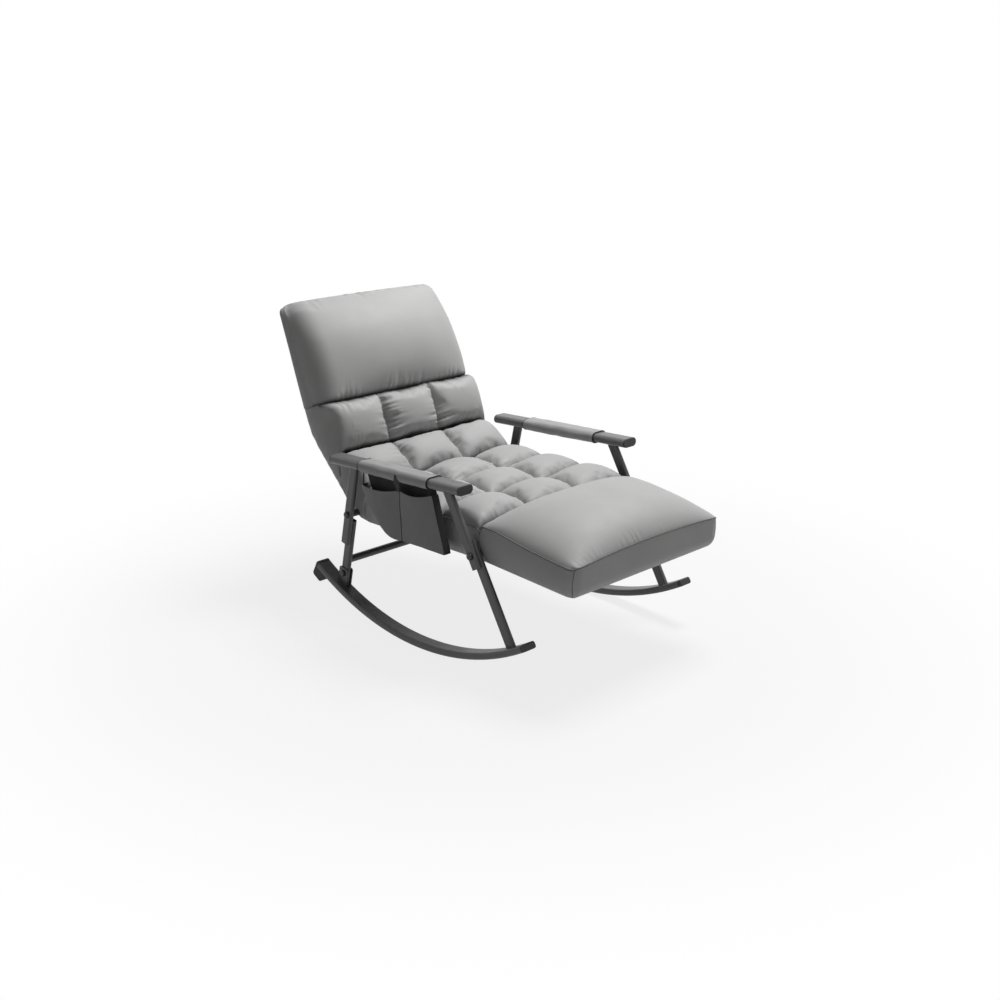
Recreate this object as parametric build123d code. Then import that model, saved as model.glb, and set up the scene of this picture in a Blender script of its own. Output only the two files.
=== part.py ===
from build123d import *
import os
from math import asin, atan2, cos, degrees, hypot, radians, sin, sqrt, tan

# Reclining rocking chair with a quilted mattress in three upholstered sections.
# Millimetres, +Z up. The sitter faces -Y, so the sitter's left is +X.
# The origin lies on the floor, midway between the rockers, under their lowest point.

# Driving dimensions: upholstery
CUSHION_WIDTH = 536.0
PADDING_WALL = 8.0
FOOT_WALL = 18.0
SIDE_DRAW = 6.0
COLUMN_PITCH = 180.0
QUILT_COLUMNS = 3
PLAIN_COLUMNS = 1
SKIRT_DROP = 24.0
EDGE_HEIGHT = 74.0
CREST_HEIGHT = 98.0
CREASE_HEIGHT = 80.0
CREASE_GAP = 2.0
PANEL_THICK = 2.0
PANEL_GAP = 0.5
SEAT_ROWS = 3
LUMBAR_SET = 38.0
LUMBAR_CREST = 24.0
LUMBAR_EDGE = 14.0
BACK_ROW_LENGTH = 136.0
BACK_CREASE = 97.0
BACK_CREST = 121.0
BACK_EDGE = 82.0
HEAD_START = 62.0
HEAD_LENGTH = 284.0
HEAD_TOP_FRONT = 34.0
HEAD_CREST = 38.0
HEAD_EDGE = 18.0
HEAD_NOSE = 36.0
HEAD_TIP = 4.0
HEAD_BACK_ROUND = 18.0
BROW_ALONG = 0.45
BROW_OUT = 0.93
CURL_ALONG = 0.25
FOOT_LENGTH = 300.0
FOOT_FRONT_TOP = 62.0
FOOT_REAR_TOP = 78.0
FOOT_CREST = 44.0
FOOT_EDGE = 6.0
FOOT_NOSE = 12.0
FOOT_FRONT_SLOPE = 5.0
FOOT_FRONT_LIFT = 4.0
PIVOT_CLEARANCE = 30.0

# Driving dimensions: side frames
ARM_GAP = 5.0
ARM_WIDTH = 50.0
ARM_THICK = 24.0
ARM_WALL = 1.5
ARM_FRONT_Y = -194.0
ARM_REAR_Y = 300.0
ARM_FRONT_Z = 455.0
ARM_REAR_Z = 432.0
ARM_CAP = 4.0
ARM_EDGE_FLAT = 0.24
LEG_DEPTH = 28.0
LEG_THICK = 13.0
LEG_WALL = 1.5
LEG_CORNER = 5.0
LEG_LAP = 68.0
FRONT_LEG_TOP_Y = -132.0
FRONT_LEG_FOOT_Y = -334.0
FRONT_LAP_Z = 268.0
REAR_LEG_TOP_Y = 224.0
REAR_LEG_FOOT_Y = 303.0
REAR_LAP_Z = 203.0
ROCKER_GAP = 3.0
ROCKER_WIDTH = 42.0
ROCKER_THICK = 18.0
ROCKER_WALL = 2.5
ROCKER_CORNER = 6.0
ROCKER_RADIUS = 782.0
ROCKER_FRONT = 406.0
ROCKER_REAR = 398.0
ROCKER_CAP = 10.0
CAP_PLUG = 22.0
CAP_PLAY = 0.2
STOP_REACH = 384.0
STOP_LENGTH = 38.0
STOP_WIDTH = 30.0
STOP_HEIGHT = 34.0
STOP_ROUND = 8.0
STOP_SINK = 10.0
STOP_SCREW_PITCH = 18.0
CROSSBAR_Z = 148.0
CROSSBAR_RADIUS = 10.0
CROSSBAR_WALL = 1.2

# Driving dimensions: upholstery frames
FRONT_PIVOT_Z = 297.0
REAR_PIVOT_Z = 287.0
RAIL_WIDTH = 15.0
RAIL_DEPTH = 25.0
RAIL_WALL = 1.5
RAIL_CORNER = 4.0
RAIL_GAP = 3.0
CROSS_TUBE_RADIUS = 9.0
CROSS_TUBE_WALL = 1.2
CROSS_TUBE_SET = 46.0
LINK_ANGLE = 45.0
LINK_RUN = 262.0
BACK_ANGLE = 71.4
BACK_TUBE_INSET = 52.0
FOOT_ANGLE = 3.9
FOOT_TUBE_INSET = 32.0
LUG_THICK = 4.0
LUG_RADIUS = 14.0
LUG_REACH = 74.0
TUBE_START = 24.0
STRAP_WIDTH = 46.0
STRAP_THICK = 2.0
STRAP_PITCH = 78.0
SEAT_STRAPS = 5
FOOT_STRAPS = 3
BACK_STRAPS = 2
BEND_STRAP_SHARES = (0.3, 0.7)

# Driving dimensions: fasteners
PIVOT_RADIUS = 4.0
RUNNING_CLEARANCE = 0.06
FIXED_CLEARANCE = 0.15
HEAD_RADIUS = 9.0
HEAD_HEIGHT = 7.0
HEAD_ROUND = 4.0
WASHER_RADIUS = 14.0
WASHER_THICK = 2.0
AXIAL_PLAY = 0.1
NUT_RADIUS = 7.0
NUT_HEIGHT = 8.0
SPACER_RADIUS = 9.0
SCREW_RADIUS = 2.5
SCREW_HEAD_RADIUS = 5.0
SCREW_HEAD_HEIGHT = 3.0
LAP_SCREW_RISE = 14.0
CHEEK_THICK = 3.0
CHEEK_HEIGHT = 46.0
CHEEK_MARGIN = 3.0
CHEEK_BOLT_RISE = 30.0

# Driving dimensions: armrest sleeves and side pocket
SLEEVE_FRONT = 110.0
SLEEVE_LENGTH = 264.0
SLEEVE_WALL = 2.5
SLEEVE_GAP = 0.2
POCKET_SHEET = 2.0
POCKET_DEPTH = 24.0
POCKET_FRONT = 102.0
POCKET_REAR = 372.0
POCKET_FRONT_MOUTH = 28.0
POCKET_REAR_MOUTH = 46.0
POCKET_BOTTOM = 170.0
POCKET_FRONT_SLANT = 36.0
POCKET_REAR_SLANT = 62.0
POCKET_ROUND = 34.0
POCKET_SEAM = 222.0
POCKET_SEAM_WIDTH = 4.0
POCKET_SAG = 7.0
POCKET_STRAP = 14.0

# Sideways layout, all for the +X side
HALF_CUSHION = CUSHION_WIDTH / 2
ARM_X = HALF_CUSHION + ARM_GAP + ARM_WIDTH / 2
UPPER_LEG_IN = ARM_X - LEG_THICK / 2
UPPER_LEG_OUT = ARM_X + LEG_THICK / 2
LOWER_LEG_X = ARM_X - LEG_THICK
LOWER_LEG_IN = LOWER_LEG_X - LEG_THICK / 2
ROCKER_X = HALF_CUSHION + ROCKER_GAP + ROCKER_WIDTH / 2
SKIRT_WALL = PADDING_WALL + SIDE_DRAW
TRAY_HALF = HALF_CUSHION - SKIRT_WALL
RAIL_OUT = TRAY_HALF - RAIL_GAP
RAIL_X = RAIL_OUT - RAIL_WIDTH / 2
RAIL_IN = RAIL_OUT - RAIL_WIDTH
LUG_OUT = RAIL_IN - WASHER_THICK - AXIAL_PLAY
LUG_IN = LUG_OUT - LUG_THICK
SIDE_TUBE_X = LUG_IN - RAIL_WIDTH / 2
SIDE_TUBE_IN = LUG_IN - RAIL_WIDTH
FAR = 2000.0
CUT_PAST = 1.0


# Geometry in the side view: a point is (y, z), a frame is (y, z, heading in degrees)
def place(frame, along, out):
    heading = radians(frame[2])
    y = frame[0] + along * cos(heading) - out * sin(heading)
    z = frame[1] + along * sin(heading) + out * cos(heading)
    return (y, z)


def between(start, end, share):
    return (start[0] + (end[0] - start[0]) * share, start[1] + (end[1] - start[1]) * share)


def apart(start, end):
    return hypot(end[0] - start[0], end[1] - start[1])


def heading_of(start, end):
    return degrees(atan2(end[1] - start[1], end[0] - start[0]))


def at_x(x, point):
    return Vector(x, point[0], point[1])


def line(start, end):
    return Line(at_x(0, start), at_x(0, end))


def arc(start, middle, end):
    return ThreePointArc(at_x(0, start), at_x(0, middle), at_x(0, end))


def outline(points):
    corners = points + points[:1]
    return [line(a, b) for a, b in zip(corners, corners[1:])]


def slab(edges, x_from, x_to):
    face = make_face(edges)
    return Pos(x_from, 0, 0) * extrude(face, amount=x_to - x_from, dir=(1, 0, 0))


def rod(point, radius, x_from, x_to):
    plane = Plane(origin=at_x(x_from, point), x_dir=(0, 1, 0), z_dir=(1, 0, 0))
    return extrude(plane * Circle(radius), amount=x_to - x_from)


def pipe(point, radius, bore, x_from, x_to):
    return rod(point, radius, x_from, x_to) - rod(point, bore, x_from, x_to)


def section(wide, deep, corner, wall):
    shape = RectangleRounded(wide, deep, corner)
    if wall:
        shape -= RectangleRounded(wide - 2 * wall, deep - 2 * wall, corner - wall)
    return shape


def tube(x, start, end, wide, deep, corner, wall):
    heading = (0, end[0] - start[0], end[1] - start[1])
    plane = Plane(origin=at_x(x, start), x_dir=(1, 0, 0), z_dir=heading)
    return extrude(plane * section(wide, deep, corner, wall), amount=apart(start, end))


def cross_tube(frame, along, out, half, deep, thick, corner, wall):
    heading = radians(frame[2])
    origin = at_x(-half, place(frame, along, out))
    plane = Plane(origin=origin, x_dir=(0, cos(heading), sin(heading)), z_dir=(1, 0, 0))
    return extrude(plane * section(deep, thick, corner, wall), amount=2 * half)


def block(frame, along_from, along_to, out_from, out_to, x_from, x_to):
    corners = [
        place(frame, along_from, out_from),
        place(frame, along_to, out_from),
        place(frame, along_to, out_to),
        place(frame, along_from, out_to),
    ]
    return slab(outline(corners), x_from, x_to)


def stadium(start, end, radius, x_from, x_to):
    frame = (start[0], start[1], heading_of(start, end))
    body = block(frame, 0, apart(start, end), -radius, radius, x_from, x_to)
    return body + rod(start, radius, x_from, x_to) + rod(end, radius, x_from, x_to)


def other_side(shape):
    return mirror(shape, about=Plane.YZ)


def both_sides(shapes):
    return Compound(children=shapes + [other_side(s) for s in shapes])


# Skeleton: arms, legs and pivots in the side view
ARM_FRONT = (ARM_FRONT_Y, ARM_FRONT_Z)
ARM_REAR = (ARM_REAR_Y, ARM_REAR_Z)
ARM = (ARM_FRONT_Y, ARM_FRONT_Z, heading_of(ARM_FRONT, ARM_REAR))
ARM_LENGTH = apart(ARM_FRONT, ARM_REAR)
ROCKER_CENTRE = (0.0, ROCKER_RADIUS)
ROCKER_TOP = ROCKER_RADIUS - ROCKER_THICK
ROCKER_AXIS = Axis((0, 0, ROCKER_RADIUS), (1, 0, 0))


def under_arm(y):
    tilt = radians(ARM[2])
    along = (y - ARM_FRONT_Y - ARM_THICK / 2 * sin(tilt)) / cos(tilt)
    return place(ARM, along, -ARM_THICK / 2)


def on_rocker(y):
    return (y, ROCKER_RADIUS - sqrt(ROCKER_TOP**2 - y**2))


def at_height(start, end, z):
    return between(start, end, (start[1] - z) / (start[1] - end[1]))


FRONT_TOP = under_arm(FRONT_LEG_TOP_Y)
FRONT_FOOT = on_rocker(FRONT_LEG_FOOT_Y)
REAR_TOP = under_arm(REAR_LEG_TOP_Y)
REAR_FOOT = on_rocker(REAR_LEG_FOOT_Y)
FRONT_PIVOT = at_height(FRONT_TOP, FRONT_FOOT, FRONT_PIVOT_Z)
REAR_PIVOT = at_height(REAR_TOP, REAR_FOOT, REAR_PIVOT_Z)
SEAT = (FRONT_PIVOT[0], FRONT_PIVOT[1], heading_of(FRONT_PIVOT, REAR_PIVOT))
SEAT_RUN = apart(FRONT_PIVOT, REAR_PIVOT)
FOOT = (FRONT_PIVOT[0], FRONT_PIVOT[1], FOOT_ANGLE)
LINK = (REAR_PIVOT[0], REAR_PIVOT[1], LINK_ANGLE)
BACK_CORNER = place(LINK, LINK_RUN, 0)
BACK = (BACK_CORNER[0], BACK_CORNER[1], BACK_ANGLE)
BEND_SET = HEAD_START - 2 * (CREASE_GAP + PADDING_WALL)
BACK_BEND = BEND_SET / tan(radians(BACK_ANGLE - LINK_ANGLE) / 2)
BEND_CENTRE = place(LINK, LINK_RUN - BEND_SET, BACK_BEND)

# Creases between the quilted rows, from the front edge of the seat to the head
SEAT_FRONT = CREASE_GAP
SEAT_REAR = SEAT_RUN - LUMBAR_SET
ROW_PITCH = (SEAT_REAR - SEAT_FRONT) / SEAT_ROWS
BACK_ROW_START = HEAD_START - BACK_ROW_LENGTH
HEAD_END = HEAD_START + HEAD_LENGTH
BACK_TUBE_RUN = HEAD_END - BACK_TUBE_INSET
FOOT_TUBE_RUN = FOOT_LENGTH - FOOT_TUBE_INSET
LUMBAR_START = place(SEAT, SEAT_REAR, CREASE_HEIGHT)
LUMBAR_END = place(BACK, BACK_ROW_START, BACK_CREASE)
LUMBAR = (LUMBAR_START[0], LUMBAR_START[1], heading_of(LUMBAR_START, LUMBAR_END))
LUMBAR_LENGTH = apart(LUMBAR_START, LUMBAR_END)
TRAY_OUT = RAIL_DEPTH / 2 + STRAP_THICK + RAIL_GAP


def back_run(offset, start, end):
    first = place(LINK, LINK_RUN - BEND_SET, offset)
    last = place(BACK, BEND_SET, offset)
    middle_heading = radians((LINK_ANGLE + BACK_ANGLE) / 2 - 90)
    reach = BACK_BEND - offset
    middle = (
        BEND_CENTRE[0] + reach * cos(middle_heading),
        BEND_CENTRE[1] + reach * sin(middle_heading),
    )
    return [
        line(place(LINK, start, offset), first),
        arc(first, middle, last),
        line(last, place(BACK, end, offset)),
    ]


def back_band(inner, outer, start, end, x_from, x_to):
    edges = back_run(inner, start, end) + back_run(outer, start, end)
    edges.append(line(place(LINK, start, inner), place(LINK, start, outer)))
    edges.append(line(place(BACK, end, inner), place(BACK, end, outer)))
    return slab(edges, x_from, x_to)


# Stuffed swells as (share of the length, share of the crest): steep at a sewn end, flat on top.
# Every second point is the middle of an arc. The head's swell runs on into its rounded brow.
LOAF_SWELL = ((0.0, 0.0), (0.08, 0.5), (0.22, 0.82), (0.5, 1.0), (0.78, 0.82), (0.92, 0.5), (1.0, 0.0))
HEAD_SWELL = ((0.0, 0.0), (0.07, 0.54), (0.2, 0.87), (0.52, 1.04), (0.92, 0.55))


def swell(shares, start, end, low, high, crest):
    return [
        (start + (end - start) * share, low + (high - low) * share + crest * lift)
        for share, lift in shares
    ]


def arcs(points, draw):
    return [draw(*points[i : i + 3]) for i in range(0, len(points) - 2, 2)]


# Quilted padding: a side outline crossed with a scalloped section, hollow above the frame
def scallops(bounds, heights, crest):
    edges = []
    for left, right, low, high in zip(bounds, bounds[1:], heights, heights[1:]):
        middle = ((left + right) / 2, crest)
        edges.append(ThreePointArc((left, low), middle, (right, high)))
    return edges


def crossing(frame, columns, low, edge, crest, crease, inset):
    half = HALF_CUSHION - inset
    shoulder = half - SIDE_DRAW
    seams = [(i - (columns - 2) / 2) * COLUMN_PITCH for i in range(columns - 1)]
    bounds = [-shoulder] + seams + [shoulder]
    heights = [edge - inset] + [crease - inset] * len(seams) + [edge - inset]
    middle = (low + edge) / 2
    foot = low - SKIRT_DROP - inset
    if columns == PLAIN_COLUMNS:
        loaf = swell(LOAF_SWELL, *bounds, *heights, crest - edge)
        edges = arcs(loaf, ThreePointArc)
    else:
        edges = scallops(bounds, heights, crest - inset)
    for side in (-1, 1):
        edges.append(
            ThreePointArc((side * shoulder, low), (side * half, middle), (side * shoulder, edge - inset))
        )
        edges.append(Line((side * shoulder, low), (side * shoulder, foot)))
    edges.append(Line((-shoulder, foot), (shoulder, foot)))
    heading = radians(frame[2])
    plane = Plane(
        origin=at_x(0, frame[:2]),
        x_dir=(1, 0, 0),
        z_dir=(0, -cos(heading), -sin(heading)),
    )
    return extrude(plane * make_face(edges), amount=CUSHION_WIDTH, both=True)


def quilt(profile, frame, columns, low, edge, crest, crease, wall=PADDING_WALL):
    shapes = []
    for inset in (0, wall):
        body = slab(profile(inset), -HALF_CUSHION, HALF_CUSHION)
        shapes.append(body & crossing(frame, columns, low, edge, crest, crease, inset))
    return shapes[0] - shapes[1]


def seat_profile(inset):
    front = SEAT_FRONT + inset
    rear = SEAT_REAR - CREASE_GAP / 2 - inset
    low = -SKIRT_DROP - inset
    high = CREASE_HEIGHT - inset
    seams = [SEAT_FRONT + ROW_PITCH * i for i in range(1, SEAT_ROWS)]
    bounds = [front] + seams + [rear]
    edges = []
    for start, end in zip(bounds, bounds[1:]):
        crown = place(SEAT, (start + end) / 2, CREST_HEIGHT - inset)
        edges.append(arc(place(SEAT, start, high), crown, place(SEAT, end, high)))
    edges.append(line(place(SEAT, rear, high), place(SEAT, rear, low)))
    edges.append(line(place(SEAT, rear, low), place(SEAT, front, low)))
    edges.append(line(place(SEAT, front, low), place(SEAT, front, high)))
    return edges


def near_pivot(inset):
    return between(REAR_PIVOT, LUMBAR_END, (PIVOT_CLEARANCE - inset) / apart(REAR_PIVOT, LUMBAR_END))


def lumbar_profile(inset):
    front = place(LUMBAR, CREASE_GAP / 2 + inset, -inset)
    crown = place(LUMBAR, LUMBAR_LENGTH / 2, LUMBAR_CREST - inset)
    rear = place(LUMBAR, LUMBAR_LENGTH - 2 * CREASE_GAP - inset, -inset)
    hip = near_pivot(inset)
    hip = (hip[0] - 2 * CREASE_GAP - inset, hip[1])
    low_rear = place(SEAT, SEAT_RUN - 2 * CREASE_GAP - inset, -SKIRT_DROP - inset)
    low_front = place(SEAT, SEAT_REAR + CREASE_GAP / 2 + inset, -SKIRT_DROP - inset)
    return [
        arc(front, crown, rear),
        line(rear, hip),
        line(hip, low_rear),
        line(low_rear, low_front),
        line(low_front, front),
    ]


def back_profile(inset):
    low = place(BACK, BACK_ROW_START + inset, BACK_CREASE - inset)
    crown = place(BACK, (BACK_ROW_START + HEAD_START) / 2, BACK_CREST - inset)
    end = HEAD_START - CREASE_GAP / 2 - inset
    top = place(BACK, end, BACK_CREASE - inset)
    hip = near_pivot(inset)
    hip = (hip[0] + CREASE_GAP + inset, hip[1])
    skin = -SKIRT_DROP - inset
    run = back_run(skin, PIVOT_CLEARANCE, end)
    return run + [
        line(place(BACK, end, skin), top),
        arc(top, crown, low),
        line(low, hip),
        line(hip, place(LINK, PIVOT_CLEARANCE, skin)),
    ]


def head_profile(inset):
    start = HEAD_START + CREASE_GAP / 2 + inset
    end = HEAD_END - inset
    skin = -SKIRT_DROP - inset
    rise = swell(
        HEAD_SWELL, start, HEAD_END - HEAD_NOSE, BACK_CREASE - inset, HEAD_TOP_FRONT - inset, HEAD_CREST
    )
    crown = [place(BACK, along, out) for along, out in rise]
    tip = place(BACK, end, HEAD_TIP)
    brow_out = HEAD_TIP + (HEAD_TOP_FRONT - HEAD_TIP) * BROW_OUT
    brow = place(BACK, end - HEAD_NOSE * BROW_ALONG, brow_out - inset)
    nape = place(BACK, end - HEAD_BACK_ROUND, skin)
    curl = place(BACK, end - HEAD_BACK_ROUND * CURL_ALONG, (HEAD_TIP + skin) / 2 - SIDE_DRAW)
    return arcs(crown, arc) + [
        arc(crown[-1], brow, tip),
        arc(tip, curl, nape),
        line(nape, place(BACK, start, skin)),
        line(place(BACK, start, skin), crown[0]),
    ]


def foot_profile(inset):
    rear = -CREASE_GAP - inset
    front = -FOOT_LENGTH + inset
    low = -SKIRT_DROP - inset
    toe = low + FOOT_FRONT_LIFT
    top = FOOT_FRONT_TOP - inset
    under = front + FOOT_FRONT_SLOPE
    near = FOOT_NOSE * (1 - sqrt(0.5))
    points = [
        place(FOOT, under + FOOT_NOSE, toe),
        place(FOOT, under + near, toe + near),
        place(FOOT, under, toe + FOOT_NOSE),
        place(FOOT, front, top - FOOT_NOSE),
        place(FOOT, front + near, top - near),
    ]
    heel = place(FOOT, rear, low)
    rise = swell(LOAF_SWELL, front + FOOT_NOSE, rear, top, FOOT_REAR_TOP - inset, FOOT_CREST)
    crown = [place(FOOT, along, out) for along, out in rise]
    return arcs(crown, arc) + [
        line(heel, points[0]),
        arc(points[0], points[1], points[2]),
        line(points[2], points[3]),
        arc(points[3], points[4], crown[0]),
        line(crown[-1], heel),
    ]


parts = {}

# Rockers: flat oval steel tubes bent to one arc, closed by plastic caps
FRONT_TIP = -degrees(asin(ROCKER_FRONT / ROCKER_RADIUS))
REAR_TIP = degrees(asin(ROCKER_REAR / ROCKER_RADIUS))
CAP_TURN = degrees(ROCKER_CAP / ROCKER_RADIUS)
PLUG_TURN = degrees(CAP_PLUG / ROCKER_RADIUS)
STOP_TURN = degrees(asin(STOP_REACH / ROCKER_RADIUS))


def bent(shape, start, end):
    middle = (ROCKER_X, 0, ROCKER_THICK / 2)
    plane = Plane(origin=middle, x_dir=(1, 0, 0), z_dir=(0, 1, 0))
    face = (plane * shape).rotate(ROCKER_AXIS, start)
    return revolve(face, axis=ROCKER_AXIS, revolution_arc=end - start)


def pin(frame, along, out_from, out_to, x, radius):
    heading = radians(frame[2])
    origin = at_x(x, place(frame, along, out_from))
    plane = Plane(origin=origin, x_dir=(1, 0, 0), z_dir=(0, -sin(heading), cos(heading)))
    return extrude(plane * Circle(radius), amount=out_to - out_from)


rocker_section = section(ROCKER_WIDTH, ROCKER_THICK, ROCKER_CORNER, ROCKER_WALL)
rocker = bent(rocker_section, FRONT_TIP + CAP_TURN, REAR_TIP - CAP_TURN)
cap_face = RectangleRounded(ROCKER_WIDTH, ROCKER_THICK, ROCKER_CORNER)
shrink = ROCKER_WALL + CAP_PLAY
plug_face = RectangleRounded(
    ROCKER_WIDTH - 2 * shrink, ROCKER_THICK - 2 * shrink, ROCKER_CORNER - shrink
)
front_cap = bent(cap_face, FRONT_TIP, FRONT_TIP + CAP_TURN)
front_cap = fillet(front_cap.faces().sort_by(Axis.Y)[0].edges(), ROCKER_CORNER / 2)
front_cap += bent(plug_face, FRONT_TIP + CAP_TURN, FRONT_TIP + CAP_TURN + PLUG_TURN)
rear_cap = bent(cap_face, REAR_TIP - CAP_TURN, REAR_TIP)
rear_cap = fillet(rear_cap.faces().sort_by(Axis.Y)[-1].edges(), ROCKER_CORNER / 2)
rear_cap += bent(plug_face, REAR_TIP - CAP_TURN - PLUG_TURN, REAR_TIP - CAP_TURN)
parts["rocker_front_caps"] = both_sides([front_cap])

# Tail stops: blocks under the rear tips that keep the chair from tipping over backwards
STOP = place((0, ROCKER_RADIUS, STOP_TURN), 0, -ROCKER_RADIUS) + (STOP_TURN,)
stop = block(
    STOP,
    -STOP_LENGTH / 2,
    STOP_LENGTH / 2,
    -STOP_HEIGHT,
    ROCKER_THICK,
    ROCKER_X - STOP_WIDTH / 2,
    ROCKER_X + STOP_WIDTH / 2,
)
stop = fillet(stop.edges().filter_by(Axis.X).sort_by(Axis.Z)[:2], STOP_ROUND)
stop -= rod(ROCKER_CENTRE, ROCKER_RADIUS, 0, 2 * ROCKER_X)
stop_screws = []
for along in (-STOP_SCREW_PITCH / 2, STOP_SCREW_PITCH / 2):
    seat_out = STOP_SINK - STOP_HEIGHT
    shank_end = ROCKER_WALL + SCREW_HEAD_HEIGHT
    hole = SCREW_RADIUS + FIXED_CLEARANCE
    stop -= pin(STOP, along, -STOP_HEIGHT, seat_out, ROCKER_X, SCREW_HEAD_RADIUS + FIXED_CLEARANCE)
    stop -= pin(STOP, along, seat_out, ROCKER_THICK / 2, ROCKER_X, hole)
    rocker -= pin(STOP, along, -ROCKER_WALL, ROCKER_THICK / 2, ROCKER_X, hole)
    rear_cap -= pin(STOP, along, -ROCKER_WALL, ROCKER_THICK / 2, ROCKER_X, hole)
    head = pin(STOP, along, seat_out - SCREW_HEAD_HEIGHT, seat_out, ROCKER_X, SCREW_HEAD_RADIUS)
    stop_screws.append(head + pin(STOP, along, seat_out, shank_end, ROCKER_X, SCREW_RADIUS))
parts["rocker_left"] = rocker
parts["rocker_rear_caps"] = both_sides([rear_cap])
parts["tail_stop_left"] = stop
parts["tail_stop_screws"] = both_sides(stop_screws)

# Legs: the upper tube hangs from the arm, the lower tube laps inside it and stands on the rocker
ARM_NORMAL = (0, -sin(radians(ARM[2])), cos(radians(ARM[2])))
ROCKER_DISC = rod(ROCKER_CENTRE, ROCKER_TOP, 0, 2 * ROCKER_X)
PIVOT_HOLE = PIVOT_RADIUS + FIXED_CLEARANCE


def leg_tube(x, start, end):
    return tube(x, start, end, LEG_THICK, LEG_DEPTH, LEG_CORNER, LEG_WALL)


lap_screws = []
for name, top, foot, lap_z, pivot in (
    ("front", FRONT_TOP, FRONT_FOOT, FRONT_LAP_Z, FRONT_PIVOT),
    ("rear", REAR_TOP, REAR_FOOT, REAR_LAP_Z, REAR_PIVOT),
):
    length = apart(top, foot)
    lap_end = at_height(top, foot, lap_z)
    lap_share = apart(top, lap_end) / length
    above = between(top, foot, -LEG_DEPTH / length)
    below = between(top, foot, 1 + LEG_DEPTH / length)
    lap_top = between(top, foot, lap_share - LEG_LAP / length)
    screw = between(top, foot, lap_share - LAP_SCREW_RISE / length)
    upper = leg_tube(ARM_X, above, lap_end)
    upper = split(upper, Plane(origin=at_x(0, top), z_dir=ARM_NORMAL), keep=Keep.BOTTOM)
    upper -= rod(pivot, PIVOT_HOLE, UPPER_LEG_IN - CUT_PAST, UPPER_LEG_OUT + CUT_PAST)
    screw_hole = SCREW_RADIUS + FIXED_CLEARANCE
    upper -= rod(screw, screw_hole, UPPER_LEG_IN - CUT_PAST, ARM_X)
    lower = leg_tube(LOWER_LEG_X, lap_top, below) & ROCKER_DISC
    lower -= rod(screw, screw_hole, LOWER_LEG_IN - CUT_PAST, UPPER_LEG_IN + CUT_PAST)
    if apart(pivot, lap_end) < LEG_LAP:
        lower -= rod(pivot, PIVOT_HOLE, LOWER_LEG_IN - CUT_PAST, UPPER_LEG_IN + CUT_PAST)
    lap_screws.append(
        rod(screw, SCREW_HEAD_RADIUS, LOWER_LEG_IN - SCREW_HEAD_HEIGHT, LOWER_LEG_IN)
        + rod(screw, SCREW_RADIUS, LOWER_LEG_IN, UPPER_LEG_IN + LEG_WALL + SCREW_HEAD_HEIGHT)
    )
    parts[f"{name}_leg_upper_left"] = upper
    parts[f"{name}_leg_lower_left"] = lower
parts["leg_lap_screws"] = both_sides(lap_screws)


# Rear feet: two welded cheeks hold each rear leg on its rocker with a cross bolt
def domed(point, radius, base, tip):
    low = min(base, tip)
    head = rod(point, radius, low, max(base, tip))
    rim = head.edges().sort_by(Axis.X)
    outer = rim[-1] if tip > base else rim[0]
    return fillet(outer, HEAD_ROUND)


REAR_LEG = (REAR_FOOT[0], REAR_FOOT[1], heading_of(REAR_FOOT, REAR_TOP))
CHEEK_BOLT = place(REAR_LEG, CHEEK_BOLT_RISE, 0)
cheek_half = LEG_DEPTH / 2 + CHEEK_MARGIN
cheek_low = -LEG_DEPTH
cheeks = []
for x_from in (UPPER_LEG_IN, LOWER_LEG_IN - CHEEK_THICK):
    cheek = block(
        REAR_LEG, cheek_low, CHEEK_HEIGHT, -cheek_half, cheek_half, x_from, x_from + CHEEK_THICK
    )
    cheek = fillet(cheek.edges().filter_by(Axis.X).sort_by(Axis.Z)[-2:], CHEEK_MARGIN * 2)
    cheek &= ROCKER_DISC
    cheeks.append(cheek - rod(CHEEK_BOLT, PIVOT_HOLE, x_from, x_from + CHEEK_THICK))
parts["rear_foot_cheeks"] = both_sides(cheeks)
parts["rear_leg_lower_left"] -= rod(CHEEK_BOLT, PIVOT_HOLE, LOWER_LEG_IN - CUT_PAST, UPPER_LEG_IN + CUT_PAST)
cheek_out = UPPER_LEG_IN + CHEEK_THICK
cheek_in = LOWER_LEG_IN - CHEEK_THICK
cheek_bolt = domed(CHEEK_BOLT, HEAD_RADIUS, cheek_out, cheek_out + HEAD_HEIGHT)
cheek_bolt += rod(CHEEK_BOLT, PIVOT_RADIUS, cheek_in - HEAD_HEIGHT / 2, cheek_out)
cheek_nut = domed(CHEEK_BOLT, HEAD_RADIUS, cheek_in, cheek_in - HEAD_HEIGHT)
cheek_nut -= rod(CHEEK_BOLT, PIVOT_HOLE, cheek_in - HEAD_HEIGHT / 2, cheek_in)
parts["rear_foot_bolts"] = both_sides([cheek_bolt])
parts["rear_foot_nuts"] = both_sides([cheek_nut])

# Crossbar between the rear legs
crossbar_point = at_height(REAR_TOP, REAR_FOOT, CROSSBAR_Z)
parts["rear_crossbar"] = pipe(
    crossbar_point, CROSSBAR_RADIUS, CROSSBAR_RADIUS - CROSSBAR_WALL, -LOWER_LEG_IN, LOWER_LEG_IN
)

# Armrests: flat oval tubes with plastic end caps and sewn sleeves


def arm_tube(start, end, grow, wall):
    wide = ARM_WIDTH + 2 * grow
    deep = ARM_THICK + 2 * grow
    return tube(ARM_X, place(ARM, start, 0), place(ARM, end, 0), wide, deep, (deep - ARM_EDGE_FLAT) / 2, wall)


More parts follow.
